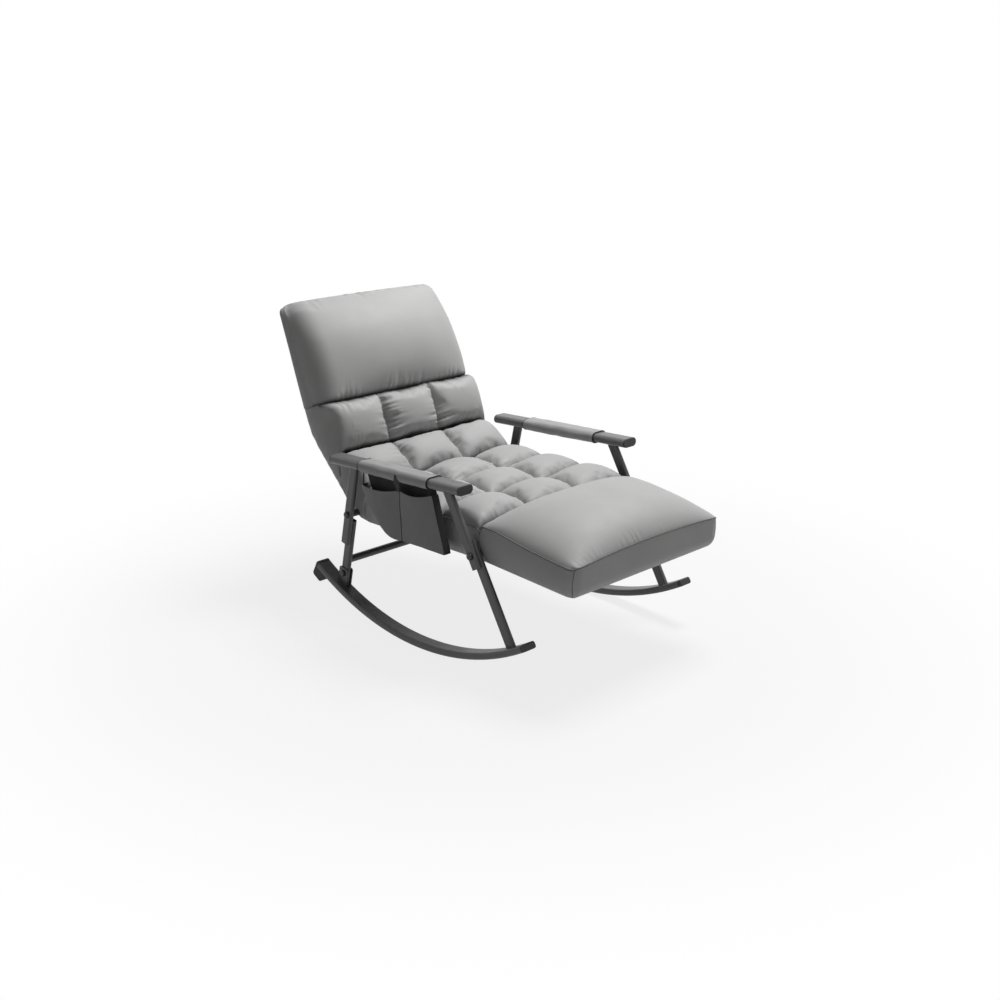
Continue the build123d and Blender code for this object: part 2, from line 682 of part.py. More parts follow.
parts["armrest_left"] = arm_tube(ARM_CAP, ARM_LENGTH - ARM_CAP, 0, ARM_WALL)
arm_front_cap = arm_tube(0, ARM_CAP, 0, 0)
arm_front_cap = fillet(arm_front_cap.faces().sort_by(Axis.Y)[0].edges(), ARM_CAP / 2)
arm_front_cap += arm_tube(ARM_CAP, ARM_CAP + CAP_PLUG, -ARM_WALL - CAP_PLAY, 0)
arm_rear_cap = arm_tube(ARM_LENGTH - ARM_CAP, ARM_LENGTH, 0, 0)
arm_rear_cap = fillet(arm_rear_cap.faces().sort_by(Axis.Y)[-1].edges(), ARM_CAP / 2)
arm_rear_cap += arm_tube(
    ARM_LENGTH - ARM_CAP - CAP_PLUG, ARM_LENGTH - ARM_CAP, -ARM_WALL - CAP_PLAY, 0
)
parts["armrest_front_caps"] = both_sides([arm_front_cap])
parts["armrest_rear_caps"] = both_sides([arm_rear_cap])
SLEEVE_REAR = SLEEVE_FRONT + SLEEVE_LENGTH
parts["armrest_sleeve_left"] = arm_tube(
    SLEEVE_FRONT, SLEEVE_REAR, SLEEVE_GAP + SLEEVE_WALL, SLEEVE_WALL
)

# Side pocket: a pouch with two compartments, hung from the right sleeve by a panel and straps
SLEEVE_UNDER = -ARM_THICK / 2 - SLEEVE_GAP - SLEEVE_WALL
POCKET_IN = ARM_X - POCKET_SHEET
POCKET_OUT = POCKET_IN + POCKET_DEPTH


def mouth(along):
    share = (along - POCKET_FRONT) / (POCKET_REAR - POCKET_FRONT)
    return -POCKET_FRONT_MOUTH - (POCKET_REAR_MOUTH - POCKET_FRONT_MOUTH) * share


def pouch_face(inset, top_front, top_rear, lift):
    bottom = -POCKET_BOTTOM + inset
    points = [
        place(ARM, top_front + inset, mouth(top_front) + lift),
        place(ARM, top_rear - inset, mouth(top_rear) + lift),
        place(ARM, POCKET_REAR - POCKET_REAR_SLANT - inset, bottom),
        place(ARM, POCKET_FRONT - POCKET_FRONT_SLANT + inset, bottom),
    ]
    face = make_face(outline(points))
    return fillet(face.vertices().sort_by(Axis.Z)[:2], POCKET_ROUND)


def sheet(face, x_from, x_to):
    return Pos(x_from, 0, 0) * extrude(face, amount=x_to - x_from, dir=(1, 0, 0))


pouch = sheet(pouch_face(0, POCKET_FRONT, POCKET_REAR, 0), POCKET_IN, POCKET_OUT)
cavity = sheet(
    pouch_face(POCKET_SHEET, POCKET_FRONT, POCKET_REAR, POCKET_STRAP),
    POCKET_IN + POCKET_SHEET,
    POCKET_OUT - POCKET_SHEET,
)
seam_from = POCKET_SEAM - POCKET_SEAM_WIDTH / 2
seam_to = POCKET_SEAM + POCKET_SEAM_WIDTH / 2
cavity -= block(ARM, seam_from, seam_to, -POCKET_BOTTOM, POCKET_STRAP, POCKET_IN, POCKET_OUT)
pouch -= cavity
for start, end in ((POCKET_FRONT + POCKET_SHEET, seam_from), (seam_to, POCKET_REAR - POCKET_SHEET)):
    low = place(ARM, (start + end) / 2, mouth((start + end) / 2) - POCKET_SAG)
    first = place(ARM, start, mouth(start))
    last = place(ARM, end, mouth(end))
    lip = [
        arc(first, low, last),
        line(last, place(ARM, end, 0)),
        line(place(ARM, end, 0), place(ARM, start, 0)),
        line(place(ARM, start, 0), first),
    ]
    pouch -= slab(lip, POCKET_OUT - POCKET_SHEET, POCKET_OUT)
parts["pocket_pouch"] = other_side(pouch)
panel = pouch_face(0, SLEEVE_FRONT, POCKET_REAR, 0)
panel = sheet(panel, POCKET_IN - POCKET_SHEET, POCKET_IN)
panel_top = [
    place(ARM, SLEEVE_FRONT, mouth(SLEEVE_FRONT)),
    place(ARM, POCKET_REAR, mouth(POCKET_REAR)),
    place(ARM, POCKET_REAR, SLEEVE_UNDER),
    place(ARM, SLEEVE_FRONT, SLEEVE_UNDER),
]
panel += slab(outline(panel_top), POCKET_IN - POCKET_SHEET, POCKET_IN)
parts["pocket_back_panel"] = other_side(panel)
straps = []
STRAP_OUT = ARM_X + (ARM_WIDTH - ARM_THICK) / 2
for along in (SLEEVE_FRONT + POCKET_STRAP / 2, POCKET_SEAM, POCKET_REAR - POCKET_SHEET / 2):
    points = [
        place(ARM, along - POCKET_SHEET, SLEEVE_UNDER),
        place(ARM, min(along + POCKET_SHEET, SLEEVE_REAR), SLEEVE_UNDER),
        place(ARM, along + POCKET_SHEET, mouth(along + POCKET_SHEET)),
        place(ARM, along - POCKET_SHEET, mouth(along - POCKET_SHEET)),
    ]
    straps.append(slab(outline(points), STRAP_OUT - POCKET_STRAP, STRAP_OUT))
parts["pocket_straps"] = other_side(Compound(children=straps))

# Seat frame: two rails on the four pivot bolts, two cross tubes and webbing across
rail = tube(
    RAIL_X,
    place(SEAT, -LUG_RADIUS, 0),
    place(SEAT, SEAT_RUN + LUG_RADIUS, 0),
    RAIL_WIDTH,
    RAIL_DEPTH,
    RAIL_CORNER,
    RAIL_WALL,
)
for pivot in (FRONT_PIVOT, REAR_PIVOT):
    rail -= rod(pivot, PIVOT_HOLE, RAIL_IN - CUT_PAST, RAIL_OUT + CUT_PAST)
parts["seat_rail_left"] = rail
for name, along in (("front", CROSS_TUBE_SET), ("rear", SEAT_RUN - CROSS_TUBE_SET)):
    parts[f"seat_{name}_tube"] = pipe(
        place(SEAT, along, 0), CROSS_TUBE_RADIUS, CROSS_TUBE_RADIUS - CROSS_TUBE_WALL, -RAIL_IN, RAIL_IN
    )


def strap(frame, along, lift, half):
    low = RAIL_DEPTH / 2 + lift
    start = along - STRAP_WIDTH / 2
    return block(frame, start, start + STRAP_WIDTH, low, low + STRAP_THICK, -half, half)


def spread(middle, count):
    return [middle + (i - (count - 1) / 2) * STRAP_PITCH for i in range(count)]


parts["seat_webbing"] = Compound(
    children=[strap(SEAT, along, 0, RAIL_OUT) for along in spread(SEAT_RUN / 2, SEAT_STRAPS)]
)
PANEL_HALF = TRAY_HALF - PANEL_GAP
PANEL_START = PIVOT_CLEARANCE + CREASE_GAP
parts["seat_base_panel"] = block(
    SEAT,
    PANEL_START,
    SEAT_RUN - PANEL_START,
    -SKIRT_DROP,
    PANEL_THICK - SKIRT_DROP,
    -PANEL_HALF,
    PANEL_HALF,
)

# Seat and lumbar padding
seat_tray = block(SEAT, -FAR, FAR, -SKIRT_DROP * 2, TRAY_OUT, -TRAY_HALF, TRAY_HALF)
back_tray = back_band(
    -SKIRT_DROP * 2,
    TRAY_OUT,
    -PIVOT_CLEARANCE,
    HEAD_END - SKIRT_WALL - HEAD_BACK_ROUND,
    -TRAY_HALF,
    TRAY_HALF,
)
front_clear = rod(FRONT_PIVOT, PIVOT_CLEARANCE, -HALF_CUSHION, HALF_CUSHION)
rear_clear = rod(REAR_PIVOT, PIVOT_CLEARANCE, -HALF_CUSHION, HALF_CUSHION)
seat_pad = quilt(
    seat_profile, SEAT, QUILT_COLUMNS, -SKIRT_DROP, EDGE_HEIGHT, CREST_HEIGHT, CREASE_HEIGHT
)
parts["seat_cushion"] = seat_pad - seat_tray - front_clear
lumbar_low = -CREASE_HEIGHT - SKIRT_DROP
lumbar_pad = quilt(
    lumbar_profile, LUMBAR, QUILT_COLUMNS, lumbar_low, -LUMBAR_EDGE, LUMBAR_CREST, 0
)
parts["lumbar_cushion"] = lumbar_pad - seat_tray - back_tray - rear_clear

# Backrest frame: bent side tubes on lugs, two cross tubes and webbing
HALF_RAIL = RAIL_DEPTH / 2
side_tube = back_band(-HALF_RAIL, HALF_RAIL, TUBE_START, BACK_TUBE_RUN, SIDE_TUBE_IN, LUG_IN)
side_tube -= back_band(
    RAIL_WALL - HALF_RAIL,
    HALF_RAIL - RAIL_WALL,
    TUBE_START,
    BACK_TUBE_RUN,
    SIDE_TUBE_IN + RAIL_WALL,
    LUG_IN - RAIL_WALL,
)
parts["back_side_tube_left"] = side_tube
for name, along in (("top", BACK_TUBE_RUN - HALF_RAIL), ("middle", BEND_SET)):
    parts[f"back_{name}_tube"] = cross_tube(
        BACK, along, 0, SIDE_TUBE_IN, RAIL_DEPTH, RAIL_WIDTH, RAIL_CORNER, RAIL_WALL
    )
RUNNING_HOLE = PIVOT_RADIUS + RUNNING_CLEARANCE
back_lug = stadium(REAR_PIVOT, place(LINK, LUG_REACH, 0), LUG_RADIUS, LUG_IN, LUG_OUT)
parts["back_lug_left"] = back_lug - rod(REAR_PIVOT, RUNNING_HOLE, LUG_IN, LUG_OUT)


def bend_frame(share):
    heading = LINK_ANGLE + (BACK_ANGLE - LINK_ANGLE) * share
    centre = (BEND_CENTRE[0], BEND_CENTRE[1], heading)
    return place(centre, 0, -BACK_BEND) + (heading,)


hollow_radius = BACK_BEND - HALF_RAIL
bend_lift = hollow_radius - sqrt(hollow_radius**2 - (STRAP_WIDTH / 2) ** 2)
link_middle = (TUBE_START + LINK_RUN - BEND_SET) / 2
upper_middle = (BEND_SET + BACK_TUBE_RUN - RAIL_DEPTH) / 2
back_straps = [strap(LINK, along, 0, LUG_IN) for along in spread(link_middle, BACK_STRAPS)]
back_straps += [strap(bend_frame(share), 0, bend_lift, LUG_IN) for share in BEND_STRAP_SHARES]
back_straps += [strap(BACK, along, 0, LUG_IN) for along in spread(upper_middle, BACK_STRAPS)]
parts["back_webbing"] = Compound(children=back_straps)
parts["back_panel"] = back_band(
    -SKIRT_DROP,
    PANEL_THICK - SKIRT_DROP,
    PANEL_START,
    HEAD_END - PADDING_WALL - HEAD_BACK_ROUND - PANEL_GAP,
    -PANEL_HALF,
    PANEL_HALF,
)

# Backrest and head padding
back_pad = quilt(
    back_profile, BACK, QUILT_COLUMNS, -SKIRT_DROP, BACK_EDGE, BACK_CREST, BACK_CREASE
)
parts["back_cushion"] = back_pad - back_tray - rear_clear
HEAD_LOW = place(BACK, HEAD_START, BACK_CREASE)
HEAD_HIGH = place(BACK, HEAD_END - HEAD_NOSE, HEAD_TOP_FRONT)
HEAD = HEAD_LOW + (heading_of(HEAD_LOW, HEAD_HIGH),)
head_pad = quilt(head_profile, HEAD, PLAIN_COLUMNS, -BACK_CREASE, -HEAD_EDGE, HEAD_CREST, 0)
parts["head_cushion"] = head_pad - back_tray

# Footrest frame and padding
parts["foot_side_tube_left"] = tube(
    SIDE_TUBE_X,
    place(FOOT, -TUBE_START, 0),
    place(FOOT, -FOOT_TUBE_RUN, 0),
    RAIL_WIDTH,
    RAIL_DEPTH,
    RAIL_CORNER,
    RAIL_WALL,
)
parts["foot_front_tube"] = cross_tube(
    FOOT, HALF_RAIL - FOOT_TUBE_RUN, 0, SIDE_TUBE_IN, RAIL_DEPTH, RAIL_WIDTH, RAIL_CORNER, RAIL_WALL
)
foot_lug = stadium(FRONT_PIVOT, place(FOOT, -LUG_REACH, 0), LUG_RADIUS, LUG_IN, LUG_OUT)
parts["foot_lug_left"] = foot_lug - rod(FRONT_PIVOT, RUNNING_HOLE, LUG_IN, LUG_OUT)
foot_middle = -(TUBE_START + FOOT_TUBE_RUN) / 2
parts["foot_webbing"] = Compound(
    children=[strap(FOOT, along, 0, LUG_IN) for along in spread(foot_middle, FOOT_STRAPS)]
)
foot_tray_front = -FOOT_LENGTH + SKIRT_WALL
parts["foot_base_panel"] = block(
    FOOT,
    -FOOT_LENGTH + PADDING_WALL + FOOT_FRONT_SLOPE + PANEL_THICK,
    -PANEL_START,
    FOOT_FRONT_LIFT - SKIRT_DROP,
    FOOT_FRONT_LIFT - SKIRT_DROP + PANEL_THICK,
    -PANEL_HALF,
    PANEL_HALF,
)
foot_tray = block(FOOT, foot_tray_front, FAR, -SKIRT_DROP * 2, TRAY_OUT, -TRAY_HALF, TRAY_HALF)
FOOT_TIP = place(FOOT, -FOOT_LENGTH, FOOT_FRONT_TOP)
FOOT_CUFF = place(FOOT, 0, FOOT_REAR_TOP)
FOOT_TOP = FOOT_TIP + (heading_of(FOOT_TIP, FOOT_CUFF),)
foot_low = -FOOT_FRONT_TOP - SKIRT_DROP
# The single footrest cell is stuffed more firmly than the quilted ones, so its wall is thicker
foot_pad = quilt(
    foot_profile, FOOT_TOP, PLAIN_COLUMNS, foot_low, -FOOT_EDGE, FOOT_CREST, 0, FOOT_WALL
)
parts["foot_cushion"] = foot_pad - foot_tray - front_clear

# Pivot hardware: one bolt at each leg carries the seat rail and the lug that turns on it
INNER_WASHER = LUG_IN - AXIAL_PLAY - WASHER_THICK
NUT_IN = INNER_WASHER - NUT_HEIGHT
bolts = []
nuts = []
washers = []
spacers = []
for pivot, leg_face in ((FRONT_PIVOT, LOWER_LEG_IN), (REAR_PIVOT, UPPER_LEG_IN)):
    head = domed(pivot, HEAD_RADIUS, UPPER_LEG_OUT, UPPER_LEG_OUT + HEAD_HEIGHT)
    bolts.append(head + rod(pivot, PIVOT_RADIUS, NUT_IN - WASHER_THICK, UPPER_LEG_OUT))
    plane = Plane(origin=at_x(NUT_IN, pivot), x_dir=(0, 1, 0), z_dir=(1, 0, 0))
    nut = extrude(plane * RegularPolygon(NUT_RADIUS, 6), amount=NUT_HEIGHT)
    nuts.append(nut - rod(pivot, PIVOT_HOLE, NUT_IN, INNER_WASHER))
    washers.append(pipe(pivot, WASHER_RADIUS, PIVOT_HOLE, RAIL_IN - WASHER_THICK, RAIL_IN))
    washers.append(pipe(pivot, WASHER_RADIUS, PIVOT_HOLE, INNER_WASHER, INNER_WASHER + WASHER_THICK))
    spacers.append(pipe(pivot, SPACER_RADIUS, PIVOT_HOLE, RAIL_OUT, leg_face))
parts["pivot_bolts"] = both_sides(bolts)
parts["pivot_nuts"] = both_sides(nuts)
parts["pivot_washers"] = both_sides(washers)
parts["pivot_spacers"] = both_sides(spacers)

# The right side mirrors the left
for name in [n for n in parts if n.endswith("_left")]:
    parts[name[: -len("left")] + "right"] = other_side(parts[name])

os.makedirs("parts", exist_ok=True)
for name, shape in parts.items():
    export_step(shape, f"parts/{name}.step")
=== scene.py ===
from math import cos, pi, radians, sin

import bpy
import numpy as np
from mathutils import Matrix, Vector, noise


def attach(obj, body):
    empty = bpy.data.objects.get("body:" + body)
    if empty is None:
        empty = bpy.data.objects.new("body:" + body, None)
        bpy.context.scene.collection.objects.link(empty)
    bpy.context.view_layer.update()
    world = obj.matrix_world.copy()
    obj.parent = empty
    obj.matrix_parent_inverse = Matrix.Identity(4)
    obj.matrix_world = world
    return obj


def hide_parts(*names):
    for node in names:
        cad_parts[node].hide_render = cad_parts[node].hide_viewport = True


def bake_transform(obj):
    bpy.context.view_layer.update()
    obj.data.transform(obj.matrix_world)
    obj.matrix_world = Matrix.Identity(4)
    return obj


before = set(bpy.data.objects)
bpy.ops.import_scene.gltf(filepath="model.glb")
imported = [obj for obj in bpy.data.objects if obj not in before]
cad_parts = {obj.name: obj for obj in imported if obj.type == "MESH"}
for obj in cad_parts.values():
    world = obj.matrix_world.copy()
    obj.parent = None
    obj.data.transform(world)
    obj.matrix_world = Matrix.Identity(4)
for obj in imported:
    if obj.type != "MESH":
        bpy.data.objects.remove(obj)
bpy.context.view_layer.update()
scene = bpy.context.scene
scene.view_settings.view_transform = "Standard"


# Rockers: flat oval steel tubes bent to one arc and powder coated dark grey.
# A thin black band is painted along the underside, and moulded caps close the ends.
ROCKER_RADIUS = 0.782
UNDERSIDE_BAND = 0.0022
UNDERSIDE_BAND_BLACK = (0.006, 0.006, 0.006)
CLOUD_TONE, SPECK_TONE = 0.7, 0.5
CLOUD_GLOSS = 0.22
PEEL_BUMP = 0.35


def plain_material(name, colour, roughness):
    material = bpy.data.materials.new(name)
    material.use_nodes = True
    tree = material.node_tree
    shader = tree.nodes["Principled BSDF"]
    shader.inputs["Base Color"].default_value = (*colour, 1)
    shader.inputs["Roughness"].default_value = roughness
    return material, tree, shader


def effect(name, numbers, results):
    """An empty node group, with its inputs at their usual values."""
    group = bpy.data.node_groups.new(name, "ShaderNodeTree")
    for label, value in numbers.items():
        socket = group.interface.new_socket(label, in_out="INPUT", socket_type="NodeSocketFloat")
        socket.default_value = value
    for label in results:
        group.interface.new_socket(label, in_out="OUTPUT", socket_type="NodeSocketFloat")
    return group, group.nodes.new("NodeGroupInput"), group.nodes.new("NodeGroupOutput")


def use_effect(tree, group, **numbers):
    node = tree.nodes.new("ShaderNodeGroup")
    node.node_tree = group
    for label, value in numbers.items():
        node.inputs[label].default_value = value
    return node.outputs


def arithmetic(tree, operation, first, second, third=None):
    node = tree.nodes.new("ShaderNodeMath")
    node.operation = operation
    for socket, value in zip(node.inputs, (first, second, third)):
        if isinstance(value, (int, float)):
            socket.default_value = value
        elif value is not None:
            tree.links.new(value, socket)
    return node.outputs[0]


def distance(tree, place):
    node = tree.nodes.new("ShaderNodeVectorMath")
    node.operation = "LENGTH"
    tree.links.new(place, node.inputs[0])
    return node.outputs["Value"]


def mottle(tree, place, scale, size=1.0, detail=2.0):
    texture = tree.nodes.new("ShaderNodeTexNoise")
    texture.inputs["Detail"].default_value = detail
    if size != 1.0:
        scale = arithmetic(tree, "MULTIPLY", scale, size)
    tree.links.new(place, texture.inputs["Vector"])
    tree.links.new(scale, texture.inputs["Scale"])
    return texture.outputs["Fac"]


def blended_colour(tree, mask, low, high):
    mix = tree.nodes.new("ShaderNodeMix")
    mix.data_type = "RGBA"
    mix.inputs["A"].default_value = (*low, 1)
    mix.inputs["B"].default_value = (*high, 1)
    tree.links.new(mask, mix.inputs["Factor"])
    return mix.outputs["Result"]


def painted_over(tree, mask, colour):
    """Lays one colour over what the surface already has, where the mask is set."""
    base = tree.nodes["Principled BSDF"].inputs["Base Color"]
    mix = tree.nodes.new("ShaderNodeMix")
    mix.data_type = "RGBA"
    mix.inputs["B"].default_value = (*colour, 1)
    tree.links.new(mask, mix.inputs["Factor"])
    tree.links.new(base.links[0].from_socket, mix.inputs["A"])
    tree.links.new(mix.outputs["Result"], base)


def bump(tree, shader, height, strength, depth):
    node = tree.nodes.new("ShaderNodeBump")
    node.inputs["Strength"].default_value = strength
    node.inputs["Distance"].default_value = depth
    tree.links.new(height, node.inputs["Height"])
    tree.links.new(node.outputs["Normal"], shader.inputs["Normal"])


# The coat's orange peel is a fine pebble, with broader cloudy patches of sheen
peel, peel_in, peel_out = effect(
    "coat_peel", {"Pebble": 900.0, "Cloud": 14.0}, ["Height", "Cloudy", "Speck"]
)
peel_place = peel.nodes.new("ShaderNodeTexCoord").outputs["Object"]
pebbles = mottle(peel, peel_place, peel_in.outputs["Pebble"])
clouds = mottle(peel, peel_place, peel_in.outputs["Cloud"], detail=4.0)
speck = mottle(peel, peel_place, peel_in.outputs["Pebble"], size=0.45, detail=0.0)
peel.links.new(pebbles, peel_out.inputs["Height"])
peel.links.new(clouds, peel_out.inputs["Cloudy"])
peel.links.new(arithmetic(peel, "MULTIPLY", speck, speck), peel_out.inputs["Speck"])


def coated(name, dark, light, roughness, pebble, depth):
    material, tree, shader = plain_material(name, dark, roughness)
    skin = use_effect(tree, peel, Pebble=pebble)
    tone = arithmetic(tree, "MULTIPLY", skin["Cloudy"], CLOUD_TONE)
    tone = arithmetic(tree, "MULTIPLY_ADD", skin["Speck"], SPECK_TONE, tone)
    tree.links.new(blended_colour(tree, tone, dark, light), shader.inputs["Base Color"])
    smoothest = roughness - CLOUD_GLOSS / 2
    rough = arithmetic(tree, "MULTIPLY_ADD", skin["Cloudy"], CLOUD_GLOSS, smoothest)
    tree.links.new(rough, shader.inputs["Roughness"])
    bump(tree, shader, skin["Height"], PEEL_BUMP, depth)
    return material


def dress(material, *names):
    for name in names:
        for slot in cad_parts[name].material_slots:
            slot.material = material


def both_sides(*names):
    return [f"{name}_{side}" for name in names for side in ("left", "right")]


rocker_coat = coated(
    "rocker_coat", dark=(0.066, 0.067, 0.070), light=(0.138, 0.139, 0.143),
    roughness=0.38, pebble=900.0, depth=0.0004,
)
tree = rocker_coat.node_tree
# The material paints a thin black band along the underside, where the distance from the arc's
# centre comes within the band of the rocker's radius
place = tree.nodes.new("ShaderNodeTexCoord")
from_centre = tree.nodes.new("ShaderNodeVectorMath")
from_centre.operation = "MULTIPLY_ADD"
from_centre.inputs[1].default_value = (0, 1, 1)
from_centre.inputs[2].default_value = (0, 0, -ROCKER_RADIUS)
tree.links.new(place.outputs["Object"], from_centre.inputs[0])
radius = distance(tree, from_centre.outputs["Vector"])
painted_over(tree, arithmetic(tree, "GREATER_THAN", radius, ROCKER_RADIUS - UNDERSIDE_BAND), UNDERSIDE_BAND_BLACK)
dress(rocker_coat, *both_sides("rocker"))
cap_plastic = coated(
    "cap_plastic", dark=(0.010, 0.010, 0.011), light=(0.026, 0.026, 0.027),
    roughness=0.52, pebble=1400.0, depth=0.0003,
)
dress(cap_plastic, "rocker_front_caps", "rocker_rear_caps")

# Tail stops: black moulded rubber blocks that keep the chair from rolling over backwards.
# Each is held under the rear tip of its rocker by screws from below.
stop_rubber = coated(
    "stop_rubber", dark=(0.009, 0.009, 0.009), light=(0.022, 0.022, 0.022),
    roughness=0.72, pebble=600.0, depth=0.0006,
)
dress(stop_rubber, *both_sides("tail_stop"))

# Legs, foot cheeks and crossbar: dark grey powder coated steel tube and plate.
# Each leg is two lapped lengths screwed together, and the crossbar is welded between the rear pair.
leg_coat = coated(
    "leg_coat", dark=(0.058, 0.059, 0.062), light=(0.126, 0.127, 0.131),
    roughness=0.36, pebble=900.0, depth=0.0004,
)
leg_lengths = ("front_leg_upper", "front_leg_lower", "rear_leg_upper", "rear_leg_lower")
dress(leg_coat, *both_sides(*leg_lengths), "rear_crossbar", "rear_foot_cheeks")

# Bolts, nuts and screws: black finished steel with domed heads.
# Pale nylon washers keep the turning lugs off the legs.
bolt_black = coated(
    "bolt_black", dark=(0.006, 0.006, 0.007), light=(0.016, 0.016, 0.017),
    roughness=0.34, pebble=1600.0, depth=0.0002,
)
dress(bolt_black, "pivot_bolts", "pivot_nuts", "rear_foot_bolts", "rear_foot_nuts")
dress(bolt_black, "leg_lap_screws", "tail_stop_screws")
washer_nylon = coated(
    "washer_nylon", dark=(0.40, 0.40, 0.385), light=(0.50, 0.50, 0.48),
    roughness=0.5, pebble=1200.0, depth=0.0002,
)
dress(washer_nylon, "pivot_washers")

# Armrests: flat oval aluminium tubes with a coat like the legs', a little paler and smoother.
# They lie along the tops of the legs, and moulded caps close their ends.
arm_coat = coated(
    "arm_coat", dark=(0.096, 0.097, 0.100), light=(0.185, 0.186, 0.191),
    roughness=0.38, pebble=1100.0, depth=0.0003,
)
dress(arm_coat, *both_sides("armrest"))
dress(cap_plastic, "armrest_front_caps", "armrest_rear_caps")

# Inner frames: the seat, back and footrest tubes with their lugs and spacers.
# They are welded, coated in plain dark grey and hidden by the padding.
inner_coat = coated(
    "inner_coat", dark=(0.030, 0.031, 0.033), light=(0.060, 0.061, 0.064),
    roughness=0.5, pebble=900.0, depth=0.0004,
)
dress(inner_coat, "seat_front_tube", "seat_rear_tube", "foot_front_tube", "pivot_spacers")
dress(inner_coat, "back_middle_tube", "back_top_tube")
dress(inner_coat, *both_sides("seat_rail", "foot_lug", "foot_side_tube"))
dress(inner_coat, *both_sides("back_lug", "back_side_tube"))

# Seat pad: three rows of three stuffed cells, sewn down along the creases onto a flat base.
# One grey leather-like cloth covers the top and the side gussets, joined by a piped seam.
HALF_WIDTH = 0.267
COLUMN_SEAM = 0.090
GRID_STEP = 0.0065
FEWEST_STEPS = 4
NEAR = 1e-4
FAR = 1.0
SIDE_SHARE = 0.499
# The form of a stuffed cell: how full it is across and at its edges, and how seams draw it in
CELL_POWER, CELL_FULL, EDGE_FULL = 2.2, 0.58, 0.75
SEAM_LIFT = 0.06
SEAM_REACH = 0.005
COLUMN_PULL = 0.7
# The gusset: where it turns under, by how much, and its slight belly
TUCK_START, TUCK_SPAN, SIDE_TUCK, END_TUCK = 0.7, 0.3, 0.026, 0.009
MOST_DROP = 0.55
DIP_WIDTH, DIP_POWER = 0.09, 0.8
GUSSET_BELLY = 0.022
LOW_GUSSET, LOW_HOLD = 0.8, 0.9
# The stuffing's push
SWELL_STEPS = 20
SWELL_PRESSURE = 4.0
MOST_SWELL = 0.024
# The sewn crease, darkened with painted shade and drawn into puckers
PAINTED_SHADE_GREY, CREASE_SHADE = (0.030, 0.030, 0.030), 0.95
ROW_CREASE, COLUMN_CREASE, COLUMN_CREASE_SHARE = 0.0060, 0.0045, 0.4
CREASE_SKIN, PUCKER_SKIN = 0.04, 0.08
ROW_PUCKER, ROW_PUCKER_REACH, COLUMN_PUCKER = 0.6, 0.55, 1.5
COLUMN_SLICE = 11
PATCHES, SWAYS, FINE_FOLDS, BROAD_FOLDS = 13, 18, 135, 70
PATCH_SPREAD, LEAST_PATCH, MOST_PATCH, PATCH_REACH = 1.5, 0.05, 1.2, 0.4
SWAY, BROAD_SHARE, FOLD_HEIGHT = 1.5, 0.6, 2.2
# The cloth's shine and grain
HIDE_GLOSS, HIDE_BUMP = 0.16, 0.30
HIDE_SPECULAR, HIDE_SHEEN, HIDE_SHEEN_ROUGHNESS = 0.32, 0.08, 0.45

hide, hide_in, hide_out = effect(
    "hide_grain", {"Grain": 620.0, "Wear": 9.0}, ["Height", "Tone", "Gloss"]
)
hide_place = hide.nodes.new("ShaderNodeTexCoord").outputs["Object"]
cells = hide.nodes.new("ShaderNodeTexVoronoi")
cells.feature = "SMOOTH_F1"
cells.inputs["Smoothness"].default_value = 0.6
hide.links.new(hide_place, cells.inputs["Vector"])
hide.links.new(hide_in.outputs["Grain"], cells.inputs["Scale"])
pores = mottle(hide, hide_place, hide_in.outputs["Grain"], size=1.9)
grain = arithmetic(hide, "MULTIPLY_ADD", pores, 0.5, cells.outputs["Distance"])
worn = mottle(hide, hide_place, hide_in.outputs["Wear"], detail=5.0)
rubbed = mottle(hide, hide_place, hide_in.outputs["Wear"], size=3.1, detail=3.0)
hide.links.new(grain, hide_out.inputs["Height"])
hide.links.new(arithmetic(hide, "MULTIPLY_ADD", pores, 0.25, worn), hide_out.inputs["Tone"])
hide.links.new(rubbed, hide_out.inputs["Gloss"])


def upholstery(name, dark, light, roughness, grain, depth):
    material, tree, shader = plain_material(name, dark, roughness)
    skin = use_effect(tree, hide, Grain=grain)
    tree.links.new(blended_colour(tree, skin["Tone"], dark, light), shader.inputs["Base Color"])
    smoothest = roughness - HIDE_GLOSS / 2
    rough = arithmetic(tree, "MULTIPLY_ADD", skin["Gloss"], HIDE_GLOSS, smoothest)
    tree.links.new(rough, shader.inputs["Roughness"])
    shader.inputs["Specular IOR Level"].default_value = HIDE_SPECULAR
    shader.inputs["Sheen Weight"].default_value = HIDE_SHEEN
    shader.inputs["Sheen Roughness"].default_value = HIDE_SHEEN_ROUGHNESS
    bump(tree, shader, skin["Height"], HIDE_BUMP, depth)
    return material


def cloth_blank(name, across, lengthwise):
    """A flat unit square of cloth, gridded for shaping."""
    bpy.ops.object.select_all(action="DESELECT")
    bpy.ops.mesh.primitive_grid_add(x_subdivisions=across, y_subdivisions=lengthwise, size=1)
    blank = bpy.context.object
    blank.name = name
    return blank


def closed_blank(name, across, lengthwise, down):
    """Two squares of cloth, joined all round by a gusset."""
    pad = cloth_blank(name, across, lengthwise)
    bpy.ops.object.mode_set(mode="EDIT")
    bpy.ops.mesh.select_all(action="SELECT")
    bpy.ops.mesh.duplicate_move(TRANSFORM_OT_translate={"value": (0, 0, -1)})
    bpy.ops.mesh.select_all(action="DESELECT")
    bpy.ops.mesh.select_mode(type="EDGE")
    bpy.ops.mesh.select_non_manifold()
    bpy.ops.mesh.bridge_edge_loops(number_cuts=down - 1)
    bpy.ops.object.mode_set(mode="OBJECT")
    return pad


def face_outward(merge=0.0):
    """Turns the faces of the piece in hand outwards, after points that meet are merged."""
    bpy.ops.object.mode_set(mode="EDIT")
    bpy.ops.mesh.select_all(action="SELECT")
    if merge:
        bpy.ops.mesh.remove_doubles(threshold=merge)
    bpy.ops.mesh.normals_make_consistent(inside=False)
    bpy.ops.object.mode_set(mode="OBJECT")


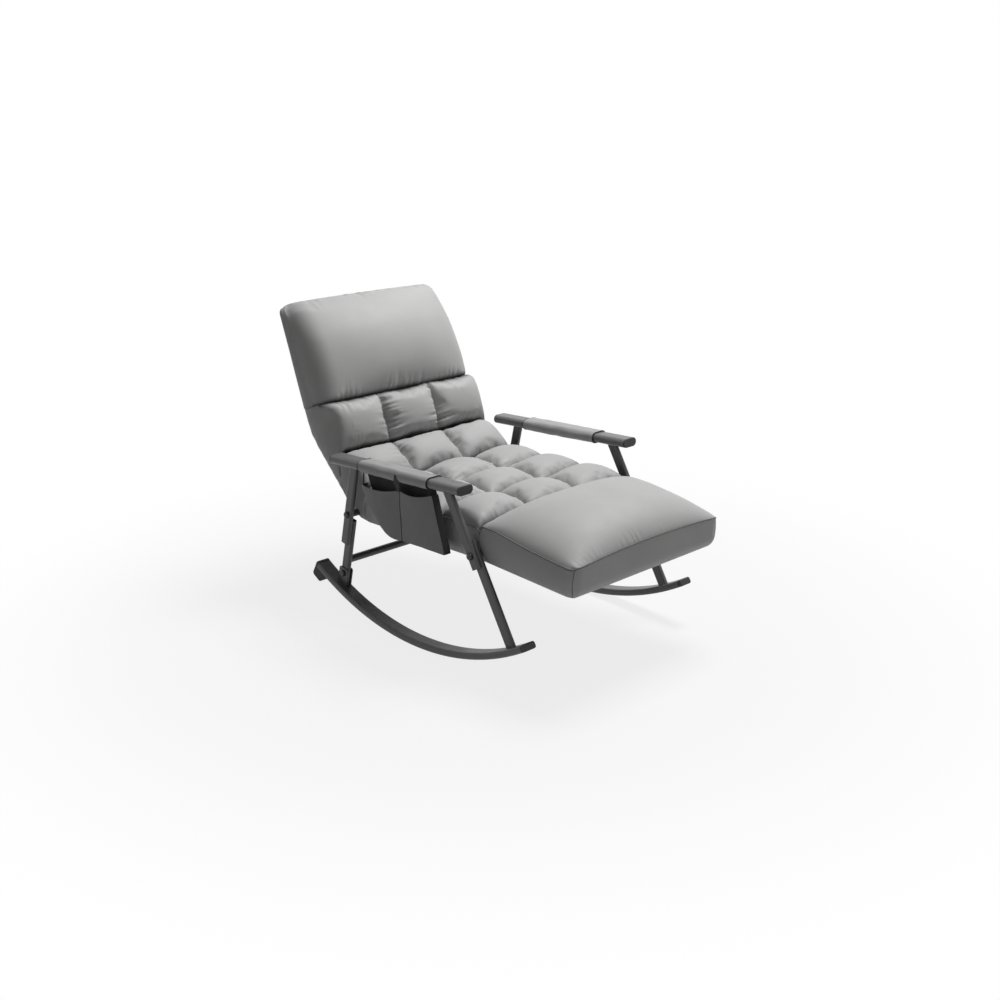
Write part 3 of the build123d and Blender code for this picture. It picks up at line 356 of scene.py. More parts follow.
def apply_to(piece, modifier):
    bpy.context.view_layer.objects.active = piece
    bpy.ops.object.modifier_apply(modifier=modifier.name)


def points_of(piece):
    flat = np.empty(len(piece.data.vertices) * 3)
    piece.data.vertices.foreach_get("co", flat)
    return flat.reshape(-1, 3)


def place_points(piece, points):
    piece.data.vertices.foreach_set("co", points.ravel())
    piece.data.update()


def note(piece, label, domain, values):
    attribute = piece.data.attributes.new(label, "FLOAT", domain)
    attribute.data.foreach_set("value", values.astype(np.float32))


def shares_of(pad):
    """Each point's share across, along and down the pad, as noted when it was cut."""
    shares = np.empty((3, len(pad.data.vertices)), np.float32)
    for label, row in zip("utd", shares):
        pad.data.attributes[label].data.foreach_get("value", row)
    return shares


def run_along(points):
    """The distance along a line at each of its points."""
    steps = np.linalg.norm(np.diff(points, axis=0), axis=1)
    return np.concatenate(([0], np.cumsum(steps)))


def between(at, stops, table):
    """Reads a table of points or directions between its rows."""
    return np.stack([np.interp(at, stops, column) for column in table.T], -1)


def along_line(points, share):
    run = run_along(points)
    return between(share * run[-1], run, np.array(points, float))


def outward(points, share, away):
    """The normal of a side-view line, softened over its corners, on the side away from another."""
    stations, half_span = 201, 20
    span = 2 * half_span + 1
    even = np.linspace(0, 1, stations)
    line = along_line(points, even)
    before = 2 * line[:1] - line[half_span:0:-1]
    after = 2 * line[-1:] - line[-2:-half_span - 2:-1]
    longer = np.concatenate((before, line, after))
    soft = np.stack([np.convolve(side, np.ones(span) / span, "valid") for side in longer.T], 1)
    slope = np.gradient(soft, axis=0)
    normal = np.stack([-slope[:, 1], slope[:, 0]], 1)
    normal /= np.linalg.norm(normal, axis=1)[:, None]
    if np.sum((line - along_line(away, even)) * normal) < 0:
        normal = -normal
    return between(share, even, normal)


def pillow(share, power, sharp):
    """A rounded rise from 0 at both ends of a cell to 1 at its middle."""
    return np.maximum(1 - np.abs(2 * share - 1) ** power, 0) ** sharp


def cell_share(share, cells):
    """How far along its own cell each point lies."""
    within = (share * cells) % 1.0
    within[share > 1 - NEAR] = 1.0
    return within


def at_seam(within):
    return (np.abs(within) < NEAR) | (np.abs(within - 1) < NEAR)


def seam_gap(share, cells):
    """The distance to the nearest line between cells, in cells."""
    return np.abs(share * cells - np.round(share * cells))


def round_corner(x, s, radius):
    """Moves the points of a square corner at the pad's free end onto a quarter circle."""
    a = np.clip((np.abs(x) - HALF_WIDTH + radius) / radius, 0, None)
    b = np.clip((radius - s) / radius, 0, None)
    both = (a > 0) & (b > 0)
    turn_a = a * np.sqrt(np.maximum(1 - b * b / 2, 0))
    turn_b = b * np.sqrt(np.maximum(1 - a * a / 2, 0))
    x = np.where(both, np.sign(x) * (HALF_WIDTH - radius + radius * turn_a), x)
    return x, np.where(both, radius - radius * turn_b, s)


def quilt_lift(u, t, length, rows, columns, crest, pull, open_end, power, edge_power, lean, full):
    """How far the stuffing lifts each point off the top line, with the seams drawn in."""
    cell_u, skewed = cell_share(u, columns), cell_share(t, rows) ** lean
    lengthways = pillow(skewed, power, full)
    row_gap = seam_gap(t, rows) * length / rows
    if open_end:
        last = skewed > 0.5
        edge = pillow(skewed[last], edge_power, EDGE_FULL)
        lengthways[last] = open_end + (1 - open_end) * edge
        row_gap[t * rows > rows - 0.5] = FAR
    outer = np.abs(u - 0.5) > 0.5 - 0.5 / columns
    crossways = np.ones(len(u))
    if columns > 1:
        crossways = SEAM_LIFT + (1 - SEAM_LIFT) * pillow(cell_u, CELL_POWER, CELL_FULL)
    crossways[outer] = pillow(cell_u[outer], edge_power, EDGE_FULL)
    column_gap = seam_gap(u, columns) * 2 * HALF_WIDTH / columns
    column_gap[outer] = FAR
    rows_in = np.exp(-row_gap / SEAM_REACH)
    columns_in = COLUMN_PULL * np.exp(-column_gap / SEAM_REACH)
    return crest * lengthways * crossways - pull * np.maximum(rows_in, columns_in)


def sewn_hold(u, t, d, rows, columns, open_end, firm, tight):
    """How far each point is held while the pad swells: 1 where it is sewn, 0 where it is free."""
    side, on_top = np.abs(u - 0.5) > SIDE_SHARE, d < NEAR
    near_end, far_end = t < NEAR, t > 1 - NEAR
    row_line, column_line = at_seam(cell_share(t, rows)), at_seam(cell_share(u, columns)) & ~side
    hold = np.zeros(len(u))
    hold[side & ~on_top] = firm
    hold[side & on_top] = tight
    hold[on_top & (row_line | column_line)] = 1.0
    hold[near_end & ~on_top] = 1.0
    hold[far_end & ~on_top] = firm if open_end else 1.0
    if open_end:
        hold[far_end & on_top] = tight
    hold[d > 1 - NEAR] = 1.0
    low = d > LOW_GUSSET
    hold[low] = np.maximum(hold[low], LOW_HOLD)
    return hold


def swell_cloth(pad, start, hold, slack):
    """Blows the cover up from inside for a moment, as stuffing does, with the sewn points held."""
    sewn = pad.vertex_groups.new(name="sewn")
    for level in np.unique(hold[hold > 0]):
        sewn.add(np.nonzero(hold == level)[0].tolist(), float(level), "REPLACE")
    cloth = pad.modifiers.new("Swell", "CLOTH")
    cover = cloth.settings
    cover.quality = 5
    cover.mass = 0.25
    cover.tension_stiffness = 15
    cover.compression_stiffness = 15
    cover.shear_stiffness = 6
    cover.bending_stiffness = 0.6
    cover.shrink_min = -slack
    cover.use_pressure = True
    cover.uniform_pressure_force = SWELL_PRESSURE
    cover.vertex_group_mass = sewn.name
    cover.effector_weights.gravity = 0
    cloth.collision_settings.use_collision = False
    cloth.point_cache.frame_start = 1
    cloth.point_cache.frame_end = SWELL_STEPS
    for step in range(1, SWELL_STEPS + 1):
        scene.frame_set(step)
    apply_to(pad, cloth)
    scene.frame_set(1)
    shift = points_of(pad) - start
    reach = np.linalg.norm(shift, axis=1)
    shift *= np.minimum(1, MOST_SWELL / np.maximum(reach, 1e-9))[:, None]
    place_points(pad, start + shift)


def stuffed(name, top, under, rows, columns, crest, roll, firm, tight, slack=0.0, open_end=0.0,
            power=2.2, edge_power=3.0, corner=0.0, dip=0.0, pull=0.014, lean=1.0, bow=0.0,
            full=0.62):
    """A closed pad between a top line and an under line in the side view, quilted and swollen."""
    length = run_along(top)[-1]
    depth = max(np.linalg.norm(np.subtract(top[end], under[end])) for end in (0, -1))
    pad = closed_blank(
        name,
        across=columns * round(2 * HALF_WIDTH / GRID_STEP / columns),
        lengthwise=rows * max(FEWEST_STEPS, round(length / GRID_STEP / rows)),
        down=max(FEWEST_STEPS, round(depth / GRID_STEP)),
    )
    flat = points_of(pad)
    u, t, d = flat[:, 0] + 0.5, flat[:, 1] + 0.5, -flat[:, 2]
    for label, values in zip("utd", (u, t, d)):
        note(pad, label, "POINT", values)
    side = np.abs(u - 0.5) > SIDE_SHARE
    along, down = np.clip(t, 0, 1), np.clip(d, 0, 1)

    seams = [-COLUMN_SEAM, COLUMN_SEAM] if columns == 3 else []
    x = np.interp(u, np.linspace(0, 1, columns + 1), [-HALF_WIDTH, *seams, HALF_WIDTH])
    turn = np.clip((np.abs(x) - HALF_WIDTH + roll) / roll, 0, 1) * pi / 2
    x = np.where(turn > 0, np.sign(x) * (HALF_WIDTH - roll + roll * np.sin(turn)), x)
    tuck = np.clip((d - TUCK_START) / TUCK_SPAN, 0, 1) ** 2
    x *= 1 - SIDE_TUCK * tuck
    share = t
    if open_end:
        x, to_end = round_corner(x, (1 - t) * length, corner)
        to_end += END_TUCK * tuck * t ** 2
        share = 1 - to_end / length

    upper, lower = along_line(top, share), along_line(under, share)
    thick = np.linalg.norm(lower - upper, axis=1)
    drop = np.minimum(roll * (1 - np.cos(turn)), MOST_DROP * thick)
    by_side = np.clip(1 - (HALF_WIDTH - np.abs(x)) / DIP_WIDTH, 0, 1)
    drop += dip * np.sin(pi * along) ** DIP_POWER * by_side ** 2
    lift = quilt_lift(
        u, t, length, rows, columns, crest, pull, open_end, power, edge_power, lean, full
    )
    skin = upper + outward(top, t, under) * lift[:, None]
    skin += (lower - upper) * (drop / thick)[:, None]
    skin[:, 1] += bow * (1 - 2 * (x / HALF_WIDTH) ** 2) * along ** 4
    shape = skin * (1 - d)[:, None] + lower * d[:, None]
    belly = 1 + GUSSET_BELLY * np.sin(pi * down) * side
    start = np.column_stack((x * belly, shape))
    place_points(pad, start)
    face_outward()

    joined = (t < NEAR) | ((t > 1 - NEAR) & (not open_end))
    rim = joined & (side | (d > 1 - NEAR))
    pairs = np.empty(len(pad.data.edges) * 2, np.int32)
    pad.data.edges.foreach_get("vertices", pairs)
    note(pad, "crease_edge", "EDGE", rim[pairs.reshape(-1, 2)].all(axis=1))
    hold = sewn_hold(u, t, d, rows, columns, open_end, firm, tight)
    swell_cloth(pad, start, hold, slack)
    return pad


def gather(pad, rows, columns, pitch, depth, reach, seed, open_end=False, cover=0.7):
    """One smoothing step, then fine puckers that run out from the sewn creases."""
    smooth = pad.modifiers.new("Smooth", "SUBSURF")
    smooth.levels = smooth.render_levels = 1
    apply_to(pad, smooth)
    u, t, d = shares_of(pad)
    place = points_of(pad)
    normals = np.empty(place.size)
    pad.data.vertex_normals.foreach_get("vector", normals)
    row_gap = seam_gap(t, rows) * pitch
    column_gap = seam_gap(u, columns) * 2 * HALF_WIDTH / columns
    column_gap[np.abs(u - 0.5) > 0.5 - 0.25 / columns] = FAR
    sewn_gap = np.where(open_end & (t > 0.5), FAR, row_gap)
    # The crease attribute marks the sewn creases, where the cover's material paints shade
    row_crease = np.exp(-((sewn_gap / ROW_CREASE) ** 2))
    column_crease = COLUMN_CREASE_SHARE * np.exp(-((column_gap / COLUMN_CREASE) ** 2))
    crease = np.maximum(row_crease, column_crease)
    crease[d > CREASE_SKIN] = 0.0
    note(pad, "crease", "POINT", crease)

    def pucker(run, gap, line, side, reach):
        """The folds at one point beside a seam; each seam and side reads its own slice of noise."""
        spot = (run * PATCHES + seed, line * 3.7 + side * 1.9, 5.0)
        patch = cover + PATCH_SPREAD * noise.noise(spot)
        if patch <= LEAST_PATCH:
            return 0.0
        spot = (run * SWAYS, line * 7.1 + side * 2.3 + seed, gap * 10)
        sway = SWAY * noise.noise(spot)
        spot = (run * FINE_FOLDS + sway, line * 5.3 + side * 1.7 + seed, gap * 9)
        ridge = noise.noise(spot)
        spot = (run * BROAD_FOLDS + sway, line * 2.9 + side + seed, gap * 14)
        ridge += BROAD_SHARE * noise.noise(spot)
        length = reach * (PATCH_REACH + patch)
        fade = np.exp(-((gap / length) ** 2))
        return FOLD_HEIGHT * ridge * min(patch, MOST_PATCH) * fade * min(gap / SEAM_REACH, 1)

    fold = np.zeros(len(place))
    nearby = 3 * reach
    for i in np.nonzero((d < PUCKER_SKIN) & (np.minimum(row_gap, column_gap) < nearby))[0]:
        if row_gap[i] < nearby:
            line = float(np.round(t[i] * rows))
            side = np.sign(t[i] * rows - line)
            height = pucker(place[i, 0], row_gap[i], line, side, ROW_PUCKER_REACH * reach)
            fold[i] += ROW_PUCKER * height
        if column_gap[i] < nearby:
            line = float(np.round(u[i] * columns))
            side = np.sign(u[i] * columns - line)
            run = t[i] * rows * pitch
            height = pucker(run, column_gap[i], line + COLUMN_SLICE, side, reach)
            fold[i] += COLUMN_PUCKER * height
    place_points(pad, place + normals.reshape(-1, 3) * (fold * depth)[:, None])
    for polygon in pad.data.polygons:
        polygon.use_smooth = True


def finish_pad(pad, material, node):
    pad.data.materials.append(material)
    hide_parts(node)


grey_hide = upholstery(
    "grey_hide", dark=(0.355, 0.355, 0.353), light=(0.450, 0.450, 0.447),
    roughness=0.58, grain=620.0, depth=0.0004,
)
tree = grey_hide.node_tree
# Painted shade: the cloth turns near black along the sewn creases, following the crease attribute
crease_shade_in = tree.nodes.new("ShaderNodeAttribute")
crease_shade_in.attribute_name = "crease"
shade = arithmetic(tree, "MULTIPLY", crease_shade_in.outputs["Fac"], CREASE_SHADE)
painted_over(tree, shade, PAINTED_SHADE_GREY)
seat_pad = stuffed(
    "seat_pad",
    top=[(-0.2125, 0.3690), (0.2195, 0.3610)],
    under=[(-0.2060, 0.2730), (0.2170, 0.2640)],
    rows=3, columns=3, crest=0.030, roll=0.014, firm=0.55, tight=0.6, slack=0.025,
)
gather(seat_pad, rows=3, columns=3, pitch=0.144, depth=0.0022, reach=0.026, seed=1.7)
finish_pad(seat_pad, grey_hide, "seat_cushion")
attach(seat_pad, "base")

# Lumbar row: the fourth row of cells, which fills the bend over the rear pivot.
# Its upper crease is sewn to the backrest, so it stretches as the backrest reclines.
lumbar_pad = stuffed(
    "lumbar_pad",
    top=[(0.2200, 0.3610), (0.3310, 0.4290)],
    under=[(0.2175, 0.2640), (0.2560, 0.2690), (0.2890, 0.2900)],
    rows=1, columns=3, crest=0.032, roll=0.016, firm=0.55, tight=0.5, slack=0.025,
)
gather(lumbar_pad, rows=1, columns=3, pitch=0.130, depth=0.0022, reach=0.026, seed=4.1)
finish_pad(lumbar_pad, grey_hide, "lumbar_cushion")
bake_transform(lumbar_pad)

# Backrest row: the top row of three cells, in the same cloth and sewn to the backrest's frame.
# Its side gussets are deep, because they reach down to the bend of the frame behind it.
back_pad = stuffed(
    "back_pad",
    top=[(0.3315, 0.4300), (0.3760, 0.5590)],
    under=[(0.2895, 0.2905), (0.4280, 0.4256), (0.4570, 0.4600), (0.4769, 0.5044),
           (0.4832, 0.5232)],
    rows=1, columns=3, crest=0.032, roll=0.026, firm=0.6, tight=0.4, slack=0.025,
)
gather(back_pad, rows=1, columns=3, pitch=0.136, depth=0.0023, reach=0.026, seed=7.3)
finish_pad(back_pad, grey_hide, "back_cushion")
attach(back_pad, "backrest")

# Head pillow: one smooth stuffed cell across the whole width, without seams on its face.
# It is sewn to the backrest row below and rounds over the top tube of the frame.
head_pad = stuffed(
    "head_pad",
    top=[(0.3760, 0.5595), (0.4080, 0.6150), (0.4640, 0.7060), (0.5160, 0.7760),
         (0.5460, 0.8010)],
    under=[(0.4834, 0.5238), (0.5560, 0.7390), (0.5720, 0.7900)],
    rows=1, columns=1, crest=0.056, roll=0.055, firm=0.5, tight=0.0, open_end=0.10, power=2.0,
    edge_power=2.0, corner=0.025, pull=0.006, lean=0.95, full=1.0,
)
gather(head_pad, rows=1, columns=1, pitch=0.285, depth=0.0026, reach=0.027, seed=11.9,
       open_end=True)
finish_pad(head_pad, grey_hide, "head_cushion")
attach(head_pad, "backrest")

# Footrest pad: one smooth cell with a flat gusset round its front, piped along the top edge.
# Its rear edge is sewn to the seat, so the cloth there turns with the hinge.
foot_pad = stuffed(
    "foot_pad",
    top=[(-0.2135, 0.3680), (-0.2700, 0.3700), (-0.5165, 0.3385)],
    under=[(-0.2070, 0.2725), (-0.5120, 0.2575)],
    rows=1, columns=1, crest=0.057, roll=0.004, firm=0.8, tight=0.9, open_end=0.01, power=2.8,
    edge_power=2.8, corner=0.026, dip=0.010, pull=0.004, bow=0.0055,
)
gather(foot_pad, rows=1, columns=1, pitch=0.300, depth=0.0036, reach=0.040, seed=15.2,
       open_end=True, cover=0.25)
finish_pad(foot_pad, grey_hide, "foot_cushion")
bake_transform(foot_pad)

# Piping: a thin cord in a strip of the same cloth, sewn into the seam between top and gusset,
# painted darker than the cover as shade along the seam.
# Plain upright seams join the gusset at the two front corners of the footrest.
PIPING_RADIUS, PIPING_LIFT = 0.0020, 0.0003
CORNER_SEAM_RADIUS, CORNER_SEAM_LIFT, CORNER_SEAM_END = 0.0010, 0.0001, 0.98


def edge_path(pad, chosen, order, lift):
    """The chosen points of a pad in order along their seam, raised a little off the cloth."""
    shares = shares_of(pad)
    wanted = np.nonzero(chosen(*shares))[0]
    wanted = wanted[np.argsort(order(*shares)[wanted])]
    points = [pad.data.vertices[int(i)] for i in wanted]
    return [point.co + point.normal * lift for point in points]


def sewn_cord(name, path, radius, material):
    bpy.ops.object.select_all(action="DESELECT")
    curve = bpy.data.curves.new(name, "CURVE")
    curve.dimensions = "3D"
    spline = curve.splines.new("NURBS")
    spline.points.add(len(path) - 1)
    for point, at in zip(spline.points, path):
        point.co = (*at, 1)
    spline.order_u = 3
    spline.use_endpoint_u = True
    spline.resolution_u = 2
    curve.bevel_depth = radius
    curve.bevel_resolution = 2
    curve.use_fill_caps = True
    cord = bpy.data.objects.new(name, curve)
    scene.collection.objects.link(cord)
    cord.select_set(True)
    bpy.context.view_layer.objects.active = cord
    bpy.ops.object.convert(target="MESH")
    bpy.ops.object.shade_smooth()
    cord.data.materials.append(material)
    return cord


# The cover's cloth, painted darker as shade in the seams, for the piping and the corner seams
piping_shaded_hide = upholstery(
    "piping_shaded_hide", dark=(0.120, 0.120, 0.119), light=(0.170, 0.170, 0.168),
    roughness=0.55, grain=900.0, depth=0.0003,
)
for side, edge in (("right", 0.0), ("left", 1.0)):
    path = edge_path(
        seat_pad,
        lambda u, t, d: (np.abs(u - edge) < NEAR) & (d < NEAR),
        lambda u, t, d: t,
        PIPING_LIFT,
    )
    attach(sewn_cord(f"seat_piping_{side}", path, PIPING_RADIUS, piping_shaded_hide), "base")
    seam = edge_path(
        foot_pad,
        lambda u, t, d: (np.abs(u - edge) < NEAR) & (t > 1 - NEAR) & (d < CORNER_SEAM_END),
        lambda u, t, d: d,
        CORNER_SEAM_LIFT,
    )
    corner_seam = sewn_cord(f"foot_corner_seam_{side}", seam, CORNER_SEAM_RADIUS, piping_shaded_hide)
    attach(corner_seam, "footrest")
rim = edge_path(
    foot_pad,
    lambda u, t, d: (d < NEAR) & ((u < NEAR) | (u > 1 - NEAR) | (t > 1 - NEAR)),
    lambda u, t, d: np.where(u < NEAR, t, np.where(t > 1 - NEAR, 1 + u, 3 - t)),
    PIPING_LIFT,
)
foot_piping = sewn_cord("foot_piping", rim, PIPING_RADIUS, piping_shaded_hide)
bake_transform(foot_piping)

# Armrest sleeves: padded cloth wrapped round the flat oval arm and sewn along the underside.
# The cloth is drawn tight and ripples a little, and black tape binds its two ends.
ARM_FRONT = (-0.194, 0.455)
ARM_SLOPE = radians(-2.6657)
ARM_X, ARM_FLAT = 0.298, 0.026
SLEEVE_START, SLEEVE_LENGTH = 0.110, 0.264
SLEEVE_ROUND, SLEEVE_WALL, SLEEVE_CROWN = 0.0137, 0.0016, 0.0012
HEM_SHARE, HEM_ROLL = 0.03, 0.0009
FINE_RIPPLE, BROAD_RIPPLE = 0.0011, 0.0007
BINDING_ROUND, BINDING_RADIUS, BINDING_INSET = 0.0143, 0.0013, 0.0005
BINDING_POINTS = 49
MEETING = 0.0002


def on_arm(along, out):
    """The side-view place at a distance along the arm and out from its axis."""
    y = ARM_FRONT[0] + along * cos(ARM_SLOPE) - out * sin(ARM_SLOPE)
    return y, ARM_FRONT[1] + along * sin(ARM_SLOPE) + out * cos(ARM_SLOPE)


def oval_point(share, flat, radius):
    """A point of the flat oval section, from the middle of its underside and all the way round."""
    run = share * (2 * flat + 2 * pi * radius)
    first = flat / 2
    if run < first:
        return run, -radius
    run -= first
    if run < pi * radius:
        return flat / 2 + radius * sin(run / radius), -radius * cos(run / radius)
    run -= pi * radius
    if run < flat:
        return flat / 2 - run, radius
    run -= flat
    if run < pi * radius:
        return -flat / 2 - radius * sin(run / radius), radius * cos(run / radius)
    return -flat / 2 + run - pi * radius, -radius


def cloth_wall(sheet, thickness, soft_angle):
    """Gives a sheet its thickness, half to each side, and softens the folds below an angle."""
    wall = sheet.modifiers.new("Wall", "SOLIDIFY")
    wall.thickness = thickness
    wall.offset = 0.0
    apply_to(sheet, wall)
    bpy.ops.object.shade_smooth_by_angle(angle=radians(soft_angle))


sleeve_hide = upholstery(
    "sleeve_hide", dark=(0.290, 0.290, 0.288), light=(0.370, 0.370, 0.367),
    roughness=0.52, grain=700.0, depth=0.0004,
)
black_tape = upholstery(
    "black_tape", dark=(0.010, 0.010, 0.010), light=(0.022, 0.022, 0.022),
    roughness=0.75, grain=1500.0, depth=0.0003,
)
for side, sign in (("left", 1), ("right", -1)):
    sleeve = cloth_blank(f"sleeve_wrap_{side}", 72, 60)
    for vertex in sleeve.data.vertices:
        round_share, along_share = vertex.co.x + 0.5, vertex.co.y + 0.5
        wide, high = oval_point(round_share, ARM_FLAT, SLEEVE_ROUND)
        along = SLEEVE_START + SLEEVE_LENGTH * along_share
        to_hem = min(along_share, 1 - along_share, HEM_SHARE)
        raised = HEM_ROLL * sin(pi * to_hem / HEM_SHARE) + SLEEVE_CROWN * sin(pi * along_share)
        raised += noise.noise((along * 34 + sign, round_share * 6, 3.0 * sign)) * FINE_RIPPLE
        raised += noise.noise((along * 11, round_share * 14, 7.0 * sign)) * BROAD_RIPPLE
        swell = raised / SLEEVE_ROUND
        vertex.co = (sign * (ARM_X + wide * (1 + swell / 2)), *on_arm(along, high * (1 + swell)))
    face_outward(merge=MEETING)
    cloth_wall(sleeve, SLEEVE_WALL, 50)
    sleeve.data.materials.append(sleeve_hide)
    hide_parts(f"armrest_sleeve_{side}")
    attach(sleeve, "base")
    sleeve_ends = (
        ("front", SLEEVE_START + BINDING_INSET),
        ("rear", SLEEVE_START + SLEEVE_LENGTH - BINDING_INSET),
    )
    for end, along in sleeve_ends:
        ring = []
        for share in np.linspace(0, 1, BINDING_POINTS):
            wide, high = oval_point(share, ARM_FLAT, BINDING_ROUND)
            ring.append((sign * (ARM_X + wide), *on_arm(along, high)))
        binding = sewn_cord(f"sleeve_binding_{end}_{side}", ring, BINDING_RADIUS, black_tape)
        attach(binding, "base")

# Side pocket: a cloth pouch with two compartments, sewn up the middle and hung from the right arm.
# Its sides are black gussets, a black panel backs it, and three black straps carry it; the middle
# one is the wide triangle where the divider rises to the arm, black as painted shade for the
# shadowed gap there.
MOUTH_FRONT, MOUTH_REAR, POCKET_LOW = -0.028, -0.046, -0.170
POUCH_FRONT, POUCH_REAR, POCKET_SEAM = 0.102, 0.372, 0.222
POUCH_OUT, POUCH_BELLY, POUCH_EASE = 0.3160, 0.0045, 0.0015
POUCH_CRINKLE, BACKING_CRINKLE = 0.0010, 0.0008
POUCH_ACROSS, POUCH_DOWN = 72, 40
POUCH_WALL, BACKING_WALL = 0.0014, 0.0016
CORNER_START, TAPER_POWER = 0.72, 1.3
MOUTH_SAG, BELLY_POWER, BELLY_FADE = 0.008, 0.7, 0.8
GUSSET_STEPS, GUSSET_STEP, GUSSET_FROM = 4, 0.0052, -0.3135
BACKING_FRONT, BACKING_TOP, BACKING_OUT = 0.110, -0.0150, 0.2950
SEAM_CORD, HEM_CORD = 0.0019, 0.0016
STRAP_THICK, STRAP_EDGE, STRAP_LAP = 0.0016, 0.0005, 0.003
pocket_hide = upholstery(
    "pocket_hide", dark=(0.178, 0.178, 0.177), light=(0.242, 0.242, 0.240),
    roughness=0.58, grain=700.0, depth=0.0004,
)


def mouth_line(share):
    return MOUTH_FRONT + (MOUTH_REAR - MOUTH_FRONT) * share


def low_line(share, corner, arch):
    """The pocket's lower edge, with its rear corner cut off in a curve."""
    past = max(share - CORNER_START, 0) / (1 - CORNER_START)
    return POCKET_LOW + corner * past ** 2 + arch * sin(pi * share)


def pocket_ends(b, front, forward, rear_in):
    """Where the pocket starts and stops along the arm, at a share of its depth."""
    return front - forward * b, POUCH_REAR - rear_in * b ** TAPER_POWER


def seam_share(b):
    """The middle seam's share across the pouch at a depth, and the pouch's two ends there."""
    front, rear = pocket_ends(b, POUCH_FRONT, forward=0.036, rear_in=0.062)
    return (POCKET_SEAM - front) / (rear - front), front, rear


def pouch_point(a, b):
    """A point of the pouch's face, from its share across and down."""
    middle, front, rear = seam_share(b)
    along = front + (rear - front) * a
    half = a / middle if a < middle else (a - middle) / (1 - middle)
    mouth = mouth_line(a) - MOUTH_SAG * sin(pi * half)
    out = mouth + (low_line(a, corner=0.030, arch=0.004) - mouth) * b
    belly = POUCH_BELLY * max(sin(pi * half), 0) ** BELLY_POWER * (1 - BELLY_FADE * b)
    crinkle = noise.noise((along * 30, out * 30, 2.0)) * POUCH_CRINKLE
    return -(POUCH_OUT + belly + crinkle + POUCH_EASE * sin(pi * half)), *on_arm(along, out)


pouch = cloth_blank("pouch_cloth", POUCH_ACROSS, POUCH_DOWN)
for vertex in pouch.data.vertices:
    vertex.co = pouch_point(vertex.co.x + 0.5, 0.5 - vertex.co.y)
bpy.ops.object.mode_set(mode="EDIT")
bpy.ops.mesh.select_all(action="DESELECT")
bpy.ops.object.mode_set(mode="OBJECT")
faces_at = {}
for polygon in pouch.data.polygons:
    for key in polygon.edge_keys:
        faces_at[key] = faces_at.get(key, 0) + 1
mouth_from = len(pouch.data.vertices) - (POUCH_ACROSS + 1)
for edge in pouch.data.edges:
    ends = tuple(sorted(edge.vertices))
    edge.select = faces_at[ends] == 1 and ends[0] < mouth_from
bpy.ops.object.mode_set(mode="EDIT")
bpy.ops.mesh.select_mode(type="EDGE")
for step in range(GUSSET_STEPS):
    bpy.ops.mesh.extrude_region_move(TRANSFORM_OT_translate={"value": (GUSSET_STEP, 0, 0)})
face_outward()
cloth_wall(pouch, POUCH_WALL, 55)
pouch.data.materials.append(pocket_hide)
pouch.data.materials.append(black_tape)
for polygon in pouch.data.polygons:
    if max(pouch.data.vertices[i].co.x for i in polygon.vertices) > GUSSET_FROM:
        polygon.material_index = 1
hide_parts("pocket_pouch")
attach(pouch, "base")

seam_run = [pouch_point(seam_share(b)[0], b) for b in np.linspace(0.02, 1.0, 24)]
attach(sewn_cord("pocket_seam", seam_run, SEAM_CORD, black_tape), "base")
hem_run = [pouch_point(a, 0.015) for a in np.linspace(0.0, 1.0, 60)]
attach(sewn_cord("pocket_hem", hem_run, HEM_CORD, pocket_hide), "base")

backing = cloth_blank("pocket_backing", 48, 30)
for vertex in backing.data.vertices:
    a, b = vertex.co.x + 0.5, 0.5 - vertex.co.y
    front, rear = pocket_ends(b, BACKING_FRONT, forward=0.040, rear_in=0.060)
    out = BACKING_TOP + (low_line(a, corner=0.032, arch=0.006) - BACKING_TOP) * b
    crinkle = noise.noise((a * 9, b * 6, 4.0)) * BACKING_CRINKLE
    vertex.co = (-(BACKING_OUT + crinkle), *on_arm(front + (rear - front) * a, out))
cloth_wall(backing, BACKING_WALL, 50)
backing.data.materials.append(black_tape)
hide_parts("pocket_back_panel")
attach(backing, "base")

# Along the arm; widths at foot, middle and head; height of the head; how far out foot and head lie
strap_runs = (
    (0.117, (0.005, 0.005, 0.005), -0.0145, 0.3125, 0.3090),
    # The middle tab: the divider's triangle, painted black as shade for the shadowed gap above the
    # seam
    (POCKET_SEAM, (0.006, 0.024, 0.001), 0.0080, 0.3190, 0.3290),
    (0.369, (0.005, 0.005, 0.004), -0.0145, 0.3125, 0.3090),
)
for index, (along, widths, head, low_out, high_out) in enumerate(strap_runs):
    foot = mouth_line((along - POUCH_FRONT) / (POUCH_REAR - POUCH_FRONT)) - STRAP_LAP
    bpy.ops.object.select_all(action="DESELECT")
    bpy.ops.mesh.primitive_cube_add(size=1)
    strap = bpy.context.object
    strap.name = f"pocket_strap_{index}"
    bpy.ops.object.mode_set(mode="EDIT")
    bpy.ops.mesh.select_all(action="SELECT")
    bpy.ops.mesh.subdivide(number_cuts=5)
    bpy.ops.object.mode_set(mode="OBJECT")
    for vertex in strap.data.vertices:
        rise = vertex.co.z + 0.5
        width = np.interp(rise, (0, 0.5, 1), widths)
        y, z = on_arm(along + vertex.co.y * width, foot + (head - foot) * rise)
        vertex.co = (-(low_out + (high_out - low_out) * rise + vertex.co.x * STRAP_THICK), y, z)
    edge = strap.modifiers.new("Edge", "BEVEL")
    edge.width = STRAP_EDGE
    apply_to(strap, edge)
    strap.data.materials.append(black_tape)
    if index == 0:
        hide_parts("pocket_straps")
    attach(strap, "base")

